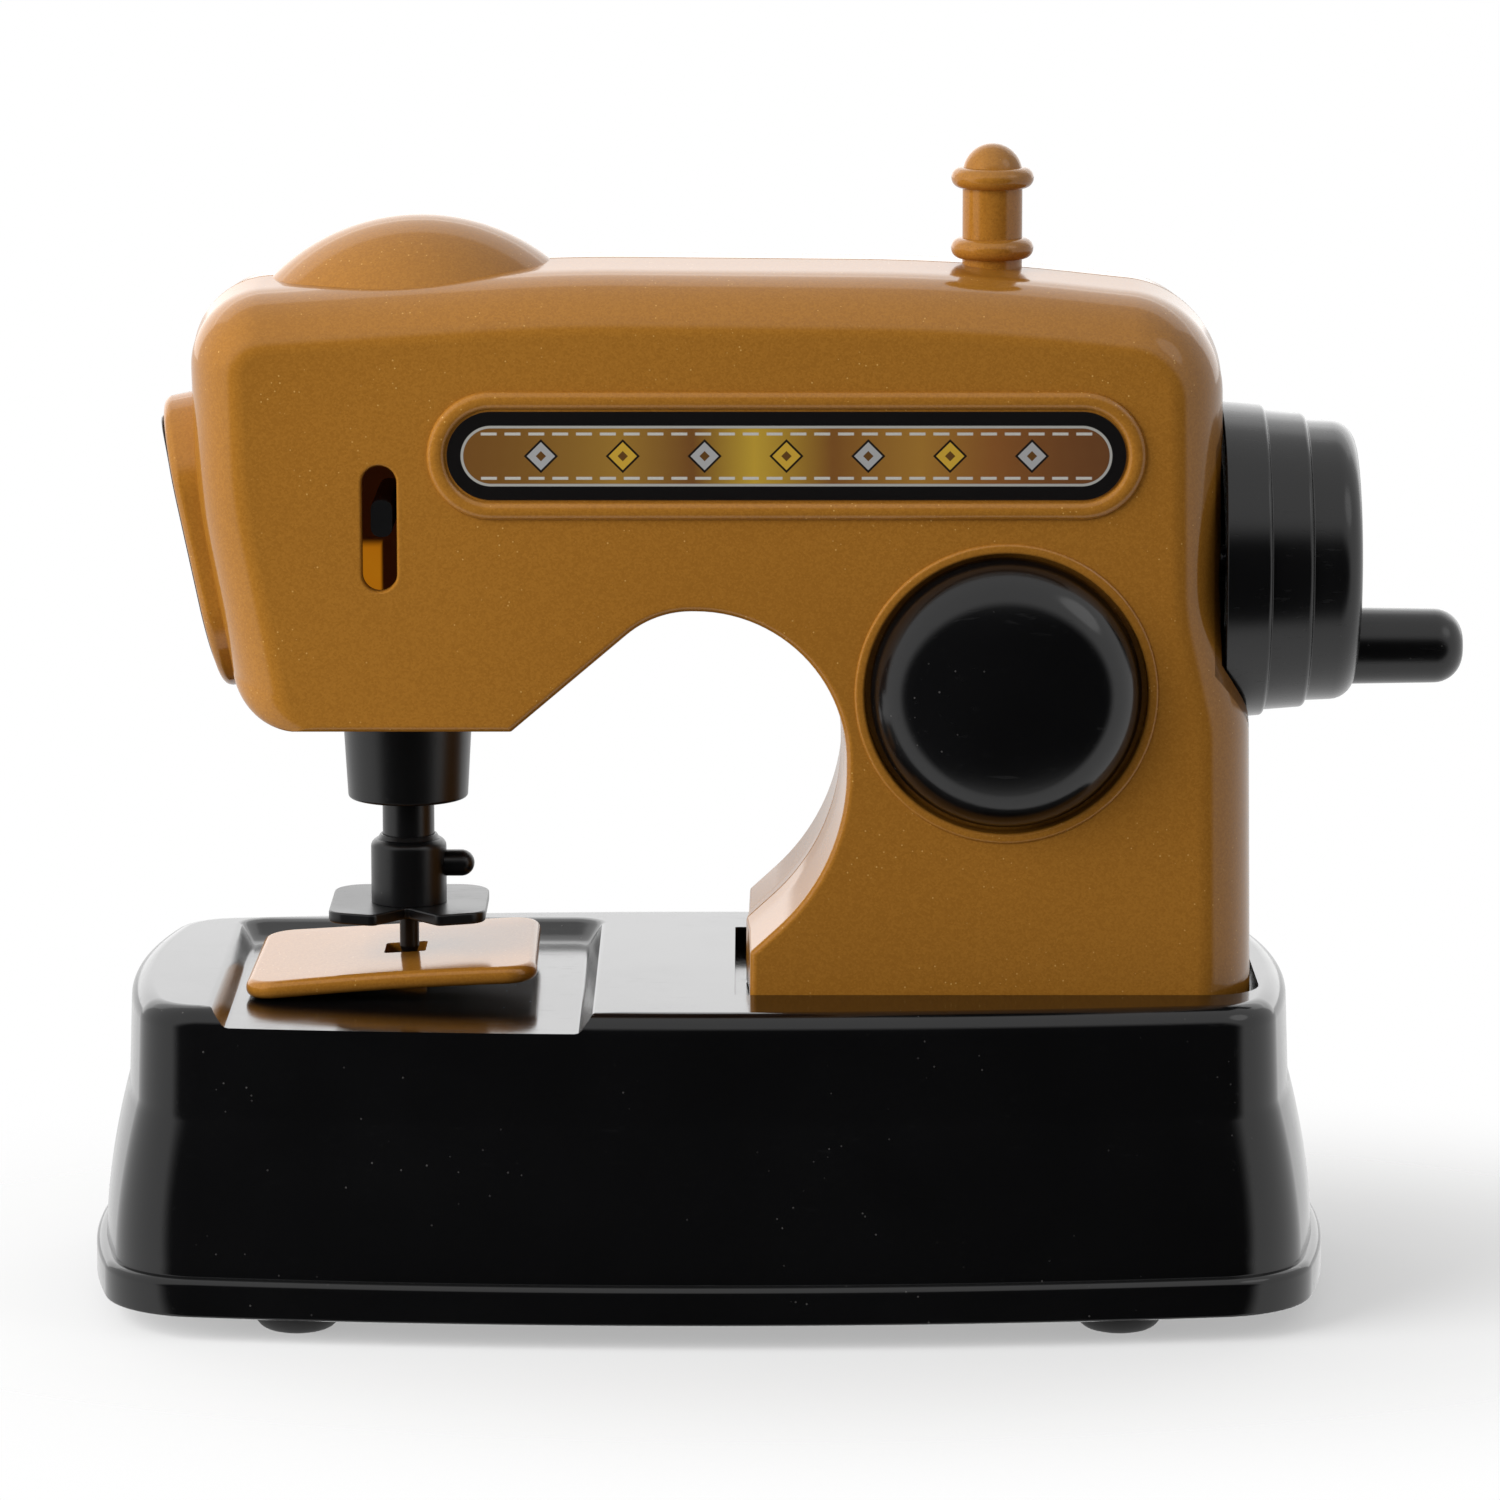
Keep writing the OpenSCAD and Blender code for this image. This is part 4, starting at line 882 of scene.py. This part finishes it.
def pearl_gold(name, gloss):
    material, tree, skin, where = new_finish(name, **clear_coat)
    flow = sum_of(tree, "MULTIPLY", grain(tree, where, 16, 2), 0.6)
    fleck = put(tree, "TexVoronoi", {"Vector": where, "Scale": 4200.0}).outputs["Color"]
    spark = put(tree, "SeparateColor", {"Color": fleck}).outputs[0]
    shade = sum_of(tree, "ADD", flow, sum_of(tree, "MULTIPLY", spark, 0.4))
    patch = steps_of(tree, grain(tree, where, 150, 3), 0.5, 0.62, 0.0, 0.8)
    flake = sum_of(tree, "MULTIPLY", specks(tree, where, 950, 0.14), patch)
    plastic = blend(tree, steps_of(tree, shade, 0.2, 0.85), GOLD_DEEP, GOLD_BRIGHT)
    sheen = steps_of(tree, shade, 0.2, 0.8, gloss - 0.05, gloss + 0.06)
    tree.links.new(blend(tree, flake, plastic, GOLD_FLAKE), skin["Base Color"])
    tree.links.new(sheen, skin["Roughness"])
    rough_bump(tree, skin, sum_of(tree, "ADD", spark, grain(tree, where, 420, 2)), 0.05)
    return material


body_pearl = pearl_gold("body_pearl_gold", 0.38)
pin_pearl = pearl_gold("pin_pearl_gold", 0.3)
plate_pearl = pearl_gold("plate_polished_gold", 0.16)
print("gold finishes", body_pearl.name, pin_pearl.name, plate_pearl.name)

# %% [markdown]
# The black pieces are polished moulded plastic that has been handled: almost black, with hairline
# scratches that roughen the gloss, a little dust that shows as pale specks, and a faint unevenness.


# %% Handled black plastic
DUST = (0.13, 0.125, 0.12)
hair_lie = {"Rotation": (0.2, 0.3, 0.7), "Scale": (1, 14, 6)}


def handled_black(name, gloss, dust=0.5, tint=(0.0022, 0.0022, 0.0024)):
    material, tree, skin, where = new_finish(name, Coat_Weight=0.0)
    cloud = grain(tree, where, 60, 4)
    drawn = put(tree, "Mapping", {"Vector": where, **hair_lie}).outputs[0]
    hair = steps_of(tree, grain(tree, drawn, 260, 2), 0.62, 0.74)
    dusty = steps_of(tree, cloud, 0.48, 0.62)
    mote = sum_of(tree, "MULTIPLY", specks(tree, where, 520, 0.085), dusty)
    mote = sum_of(tree, "MULTIPLY", mote, dust)
    base = blend(tree, cloud, tint, tuple(c * 1.9 for c in tint))
    scratched, dulled = sum_of(tree, "MULTIPLY", hair, 0.1), sum_of(tree, "MULTIPLY", mote, 0.4)
    worn = sum_of(tree, "ADD", scratched, dulled)
    polish = steps_of(tree, cloud, 0.3, 0.7, gloss, gloss + 0.05)
    tree.links.new(blend(tree, mote, base, DUST), skin["Base Color"])
    tree.links.new(sum_of(tree, "ADD", worn, polish), skin["Roughness"])
    rough_bump(tree, skin, sum_of(tree, "ADD", sum_of(tree, "MULTIPLY", hair, -0.4), cloud), 0.06)
    return material


base_gloss = handled_black("base_gloss_black", 0.1)
wheel_gloss = handled_black("wheel_gloss_black", 0.2, 0.3)
knob_gloss = handled_black("knob_gloss_black", 0.14, 0.6)
needle_satin = handled_black("needle_satin_black", 0.3, 0.5)
inner_matt = handled_black("inner_matt_black", 0.5, 0.1, (0.02, 0.02, 0.02))
foot_grip = handled_black("foot_rubber_black", 0.7, 0.4, (0.02, 0.02, 0.02))
print("black finishes made")

# %% [markdown]
# The gold plastic lets a little light through, which shows as an orange glow in the thread slot.
# The inner face of the back wall is given painted light for that: a warm plastic that glows on its
# own, as no lamp does, brighter at its lower left where the glow is painted, and uneven by a noise.


# %% Light through the back wall
# Where the painted glow of the inner back wall ends, in metres of the frame.
GLOW_X, GLOW_Z = (-0.0554, -0.056), (0.1015, 0.1)


def wall_glow():
    material, tree, skin, where = new_finish(
        "light_through_gold", Roughness=0.5, Emission_Strength=0.42
    )
    cloud = blend(tree, grain(tree, where, 70, 3), (0.75, 0.2, 0.004), (0.95, 0.4, 0.015))
    axes = put(tree, "SeparateXYZ", {"Vector": where}).outputs
    # Painted glow: the wall glows brightly only left of GLOW_X and below GLOW_Z, and faintly
    # elsewhere.
    left, low = steps_of(tree, axes[0], *GLOW_X), steps_of(tree, axes[2], *GLOW_Z)
    painted_glow_patch = sum_of(tree, "MINIMUM", left, low)
    tree.links.new(cloud, skin["Base Color"])
    tree.links.new(blend(tree, painted_glow_patch, (0.02, 0.005, 0.001), cloud), skin["Emission Color"])
    return material


painted_wall_glow = wall_glow()
print("finish of the inner back wall", painted_wall_glow.name)

# %% [markdown]
# Screws and the shaft are bright steel. Drawn wire and turned heads carry fine lines, so the
# roughness follows a noise that is stretched along the piece.


# %% Steel
def bright_steel(name, colour, along):
    material, tree, skin, where = new_finish(name, Metallic=1.0)
    lines = put(tree, "Mapping", {"Vector": where, "Scale": along}).outputs[0]
    streak = grain(tree, lines, 900, 3)
    dull = tuple(c * 0.72 for c in colour)
    tree.links.new(blend(tree, steps_of(tree, streak, 0.3, 0.7), dull, colour), skin["Base Color"])
    tree.links.new(steps_of(tree, streak, 0.3, 0.7, 0.22, 0.38), skin["Roughness"])
    rough_bump(tree, skin, streak, 0.05)
    return material


screw_steel = bright_steel("zinc_screw_steel", (0.55, 0.56, 0.58), (1, 1, 1))
shaft_steel = bright_steel("drawn_shaft_steel", (0.62, 0.62, 0.64), (0.04, 1, 1))
print("steel finishes", screw_steel.name, shaft_steel.name)

# %% [markdown]
# The front sticker has a black border, a thin silver line and bands that run from brown to gold and
# back, with a fine woven grain. Its middle carries a plain running stitch and a few small lozenges.
# The distance to the oval's edge is worked out by nodes, so border and line follow its round ends.


# %% Printed sticker of the front
BORDER, SILVER_LINE, STITCH = (0.006, 0.005, 0.005), (0.55, 0.54, 0.5), (0.72, 0.7, 0.64)
GEM_EDGE, GEM_HEART, CROSS_THREAD = (0.012, 0.008, 0.006), (0.16, 0.07, 0.015), (0.62, 0.4, 0.13)
GEM_GOLD, GEM_SILVER = (0.75, 0.46, 0.05), (0.5, 0.5, 0.5)
STITCH_PACE, STITCH_ROW, GEM_PACE = 1.6, 3.0, 5.5
bands = [
    (0.0, (0.2, 0.075, 0.012)), (0.16, (0.42, 0.22, 0.03)), (0.3, (0.2, 0.07, 0.014)),
    (0.43, (0.68, 0.43, 0.04)), (0.6, (0.24, 0.085, 0.014)), (0.78, (0.46, 0.22, 0.03)),
    (0.9, (0.3, 0.1, 0.02)), (1.0, (0.15, 0.045, 0.014)),
]


def oval_depth(tree, u, v, half_straight, radius):
    beyond = sum_of(tree, "SUBTRACT", sum_of(tree, "ABSOLUTE", u), half_straight)
    past = sum_of(tree, "POWER", sum_of(tree, "MAXIMUM", beyond, 0.0), 2.0)
    reach = sum_of(tree, "SQRT", sum_of(tree, "ADD", past, sum_of(tree, "POWER", v, 2.0)))
    return sum_of(tree, "SUBTRACT", radius, reach)


def banded(tree, u):
    ramp = put(tree, "ValToRGB", {"Fac": steps_of(tree, u, -46, 46)})
    stops = ramp.color_ramp.elements
    stops.remove(stops[1])
    for i, (place, colour) in enumerate(bands):
        band = stops.new(place) if i else stops[0]
        band.position, band.color = place, (*colour, 1)
    return ramp.outputs[0]


def woven(tree, local):
    wave = {"Vector": local, "Scale": 2.2, "Distortion": 1.5}
    cross = put(tree, "TexWave", {**wave, "Detail": 2.0}).outputs["Fac"]
    thread = put(tree, "TexWave", wave, bands_direction="Z").outputs["Fac"]
    return sum_of(tree, "MULTIPLY", cross, thread)


def front_print():
    material, tree, skin, where = new_finish(
        "front_sticker_print", Coat_Weight=0.6, Coat_Roughness=0.08, Metallic=0.25
    )
    shift = tuple(-c / MM for c in spot((FRAME_X, 0, deck_z + FRAME_H)))
    sized = {"Vector": where, "Location": shift, "Scale": (1 / MM,) * 3}
    local = put(tree, "Mapping", sized).outputs[0]
    axes = put(tree, "SeparateXYZ", {"Vector": local}).outputs
    u, v = axes[0], axes[2]
    along, across = sum_of(tree, "ABSOLUTE", u), sum_of(tree, "ABSOLUTE", v)
    depth = oval_depth(tree, u, v, 39.7, 6.0)
    weave = woven(tree, local)
    cloth = blend(tree, sum_of(tree, "MULTIPLY", weave, 0.3), banded(tree, u), CROSS_THREAD)
    dash = steps_of(tree, sum_of(tree, "PINGPONG", u, STITCH_PACE), 0.45, 0.62)
    off_row = sum_of(tree, "ABSOLUTE", sum_of(tree, "SUBTRACT", across, STITCH_ROW))
    stitch = sum_of(tree, "MULTIPLY", dash, steps_of(tree, off_row, 0.24, 0.14))
    cloth = blend(tree, stitch, cloth, STITCH)
    gem = sum_of(tree, "ADD", sum_of(tree, "PINGPONG", u, GEM_PACE), across)
    turnabout = sum_of(tree, "PINGPONG", u, 2 * GEM_PACE)
    fill = blend(tree, steps_of(tree, turnabout, 5.3, 5.7), GEM_GOLD, GEM_SILVER)
    fill = blend(tree, steps_of(tree, gem, 0.75, 0.65), fill, GEM_HEART)
    gem = sum_of(tree, "ADD", gem, steps_of(tree, along, 38, 39, 0.0, 9.0))
    cloth = blend(tree, steps_of(tree, gem, 2.35, 2.25), cloth, GEM_EDGE)
    cloth = blend(tree, steps_of(tree, gem, 1.95, 1.85), cloth, fill)
    cloth = blend(tree, steps_of(tree, depth, 2.2, 2.3), BORDER, cloth)
    outer, inner = steps_of(tree, depth, 1.85, 1.95), steps_of(tree, depth, 2.3, 2.2)
    line = sum_of(tree, "MULTIPLY", outer, inner)
    tree.links.new(blend(tree, line, cloth, SILVER_LINE), skin["Base Color"])
    tree.links.new(steps_of(tree, weave, 0.0, 1.0, 0.3, 0.42), skin["Roughness"])
    rough_bump(tree, skin, weave, 0.08)
    return material


front_finish = front_print()
print("finish of the front sticker", front_finish.name)

# %% [markdown]
# The sticker on the oval pad is silvery with a black edge. It lies on a tilted face, so the nodes
# first turn the coordinates to that face.


# %% Silvery sticker of the pad
def side_print():
    material, tree, skin, where = new_finish(
        "side_sticker_silver", Coat_Weight=0.5, Coat_Roughness=0.1, Metallic=0.5
    )
    origin = spot(on_pad(0, 0, 0))
    moved = put(tree, "VectorMath", {0: where, 1: origin}, operation="SUBTRACT").outputs[0]
    turn = {"Vector": moved, "Axis": (0, 1, 0), "Angle": PAD_TILT}
    faced = put(tree, "VectorRotate", turn, rotation_type="AXIS_ANGLE").outputs[0]
    sized = put(tree, "VectorMath", {0: faced, "Scale": 1 / MM}, operation="SCALE").outputs[0]
    axes = put(tree, "SeparateXYZ", {"Vector": sized}).outputs
    depth = oval_depth(tree, axes[2], axes[1], 7.5, 10.6)
    drawn = put(tree, "Mapping", {"Vector": where, "Scale": (1, 12, 1)}).outputs[0]
    brushed = grain(tree, drawn, 300, 3)
    silver = blend(tree, steps_of(tree, brushed, 0.3, 0.7), (0.34, 0.34, 0.33), (0.6, 0.6, 0.59))
    outer, inner = steps_of(tree, depth, 2.6, 2.75), steps_of(tree, depth, 3.3, 3.15)
    silver = blend(tree, sum_of(tree, "MULTIPLY", outer, inner), silver, (0.05, 0.05, 0.05))
    edged = blend(tree, steps_of(tree, depth, 0.7, 0.8), (0.01, 0.01, 0.01), silver)
    tree.links.new(edged, skin["Base Color"])
    tree.links.new(steps_of(tree, brushed, 0.3, 0.7, 0.24, 0.36), skin["Roughness"])
    rough_bump(tree, skin, brushed, 0.05)
    return material


side_finish = side_print()
print("finish of the side sticker", side_finish.name)

# %% [markdown]
# Every piece takes the finish of its slot in the record, the new mouldings as well as the pieces
# that keep their first shape, so one table dresses them all.

# %% Dress every piece
finishes = {
    "body_gold": body_pearl, "pin_gold": pin_pearl, "plate_gold": plate_pearl,
    "front_print": front_finish, "side_print": side_finish, "base_black": base_gloss,
    "bottom_black": inner_matt, "foot_rubber": foot_grip, "bush_black": needle_satin,
    "wheel_black": wheel_gloss, "knob_black": knob_gloss, "needle_black": needle_satin,
    "inner_black": inner_matt, "screw_steel": screw_steel, "shaft_steel": shaft_steel,
}
slot_of = {part["node"]: part["material_slot"] for part in frame["record"]["subparts"]}
for piece, slot in mouldings:
    piece.data.materials.clear()
    piece.data.materials.append(finishes[slot])
# The flat inner face of the back half takes the painted glow as a second finish.
gold_back.data.materials.append(painted_wall_glow)
inner_face, near = (BODY_HALF - WALL) * MM, 0.2 * MM
glowing = 0
for f in gold_back.data.polygons:
    if abs(f.center.y - inner_face) < near and abs(f.normal.y) > 0.9:
        f.material_index = 1
        glowing += 1
print("glowing inner faces", glowing)
for node, piece in frame["nodes"].items():
    for place in piece.material_slots:
        place.material = finishes[slot_of[node]]
print("dressed", len(mouldings), "mouldings and", len(frame["nodes"]), "frame pieces")

# %% [markdown]
# ## Floor, light and camera
# The toy stands on a pale floor that fades into a white surround. The surround is white to the eye
# and in reflections, and gives a weak even light. A dark card on the viewer's side keeps the glossy
# black fronts black, as the unlit side of a studio does.

# %% Floor and card
def sheet(name, corners, finish):
    mesh = bpy.data.meshes.new(name)
    mesh.from_pydata(corners, [], [(0, 1, 2, 3)])
    mesh.materials.append(finish)
    flat = bpy.data.objects.new(name, mesh)
    bpy.context.collection.objects.link(flat)
    return flat


def fading(name, grey, stretch, middle, near, far, least=0.0, **sockets):
    material, tree, _, where = new_finish(name, Base_Color=(grey, grey, grey, 1), **sockets)
    flat = put(tree, "VectorMath", {0: where, 1: stretch}, operation="MULTIPLY").outputs[0]
    moved = put(tree, "VectorMath", {0: flat, 1: middle}, operation="SUBTRACT").outputs[0]
    away = put(tree, "VectorMath", {0: moved}, operation="LENGTH").outputs["Value"]
    solid = tree.nodes["Principled BSDF"].outputs[0]
    clear = put(tree, "BsdfTransparent").outputs[0]
    share = steps_of(tree, away, near, far, least, 1.0)
    faded = put(tree, "MixShader", {0: share, 1: solid, 2: clear}).outputs[0]
    tree.links.new(faded, tree.nodes["Material Output"].inputs["Surface"])
    return material


FLOOR, CARD_X, CARD_Y, CARD_LOW, CARD_HIGH = 1.6, 2.6, -1.3, -2.0, 1.4
floor_paint = fading(
    "pale_floor_paint", 0.95, (0.72, 1.2, 0), (0, 0, 0), 0.05, 0.15, 0.4,
    Roughness=0.9, Specular_IOR_Level=0.0,
)
floor_corners = [(-FLOOR, -FLOOR, 0), (FLOOR, -FLOOR, 0), (FLOOR, FLOOR, 0), (-FLOOR, FLOOR, 0)]
pale_floor = sheet("pale_floor", floor_corners, floor_paint)
pale_floor.visible_glossy = False
card_cloth = fading(
    "dark_card_cloth", 0.02, (0.42, 0, 0.8), (0, 0, -0.1), 0.55, 1.0, Roughness=1.0
)
card_corners = [
    (-CARD_X, CARD_Y, CARD_LOW), (CARD_X, CARD_Y, CARD_LOW),
    (CARD_X, CARD_Y, CARD_HIGH), (-CARD_X, CARD_Y, CARD_HIGH),
]
dark_card = sheet("dark_card", card_corners, card_cloth)
dark_card.visible_camera = False
dark_card.visible_diffuse = False
dark_card.visible_shadow = False
print("floor and card staged")

# %% [markdown]
# A lamp close at the left front makes the light fall off along the toy. A weak one stands high at
# the right. Behind it hang two panels, one over the other: the flat deck, the needle plate and the
# arched top mirror them, which gives the pale sheen that fades over the edge.

# %% Surround and lamps
FILL = 0.28
world = bpy.data.worlds.new("white_surround")
bpy.context.scene.world = world
world.use_nodes = True
tree = world.node_tree
tree.nodes.clear()
path = put(tree, "LightPath").outputs
seen = sum_of(tree, "MAXIMUM", path["Is Camera Ray"], path["Is Glossy Ray"])
seen = sum_of(tree, "MAXIMUM", seen, path["Is Transmission Ray"])
strength = put(tree, "MapRange", {"Value": seen, "To Min": FILL, "To Max": 1.0}).outputs[0]
glow = put(tree, "Background", {"Color": (1, 1, 1, 1), "Strength": strength})
tree.links.new(glow.outputs[0], put(tree, "OutputWorld").inputs["Surface"])


def soft_lamp(name, place, aim, size, watts, mirrored_in=True):
    lamp = bpy.data.lights.new(name, "AREA")
    lamp.energy = watts
    if isinstance(size, tuple):
        lamp.shape, lamp.size, lamp.size_y = "RECTANGLE", *size
    else:
        lamp.shape, lamp.size = "DISK", size
    holder = bpy.data.objects.new(name, lamp)
    holder.location = place
    holder.visible_camera = False
    holder.visible_glossy = mirrored_in
    holder.rotation_euler = (Vector(aim) - Vector(place)).to_track_quat("-Z", "Y").to_euler()
    bpy.context.collection.objects.link(holder)


soft_lamp("left_front", (-0.58, -0.32, 0.38), (0, 0, 0.08), 0.7, 6.4, False)
soft_lamp("high_right", (0.75, -0.35, 0.75), (0, 0, 0.08), 0.5, 0.6)
soft_lamp("back_panel", (0, 1.3, 0.45), (0, 0, 0.1), (2.6, 0.8), 6.8)
soft_lamp("back_high", (0, 1.1, 1.1), (0, 0, 0.1), (2.6, 0.75), 4.4)
print("light set")

# %% [markdown]
# The photo was taken from a little under a metre, ten degrees above the toy, with a long lens.

# %% Camera
aim = Vector((-3.65, 0, 74.8)) * MM
place = Vector((-3.65, -935.6, 239.8)) * MM
lens = bpy.data.cameras.new("front_camera")
lens.sensor_width, lens.lens = 36.0, 164.2
lens.clip_start, lens.clip_end = 0.05, 20
camera = bpy.data.objects.new("front_camera", lens)
camera.location = place
camera.rotation_euler = (aim - place).to_track_quat("-Z", "Y").to_euler()
bpy.context.collection.objects.link(camera)
bpy.context.scene.camera = camera
bpy.context.scene.view_settings.view_transform = "Standard"
print("camera at", [round(v, 3) for v in place], "aimed at", [round(v, 3) for v in aim])

# %% [markdown]
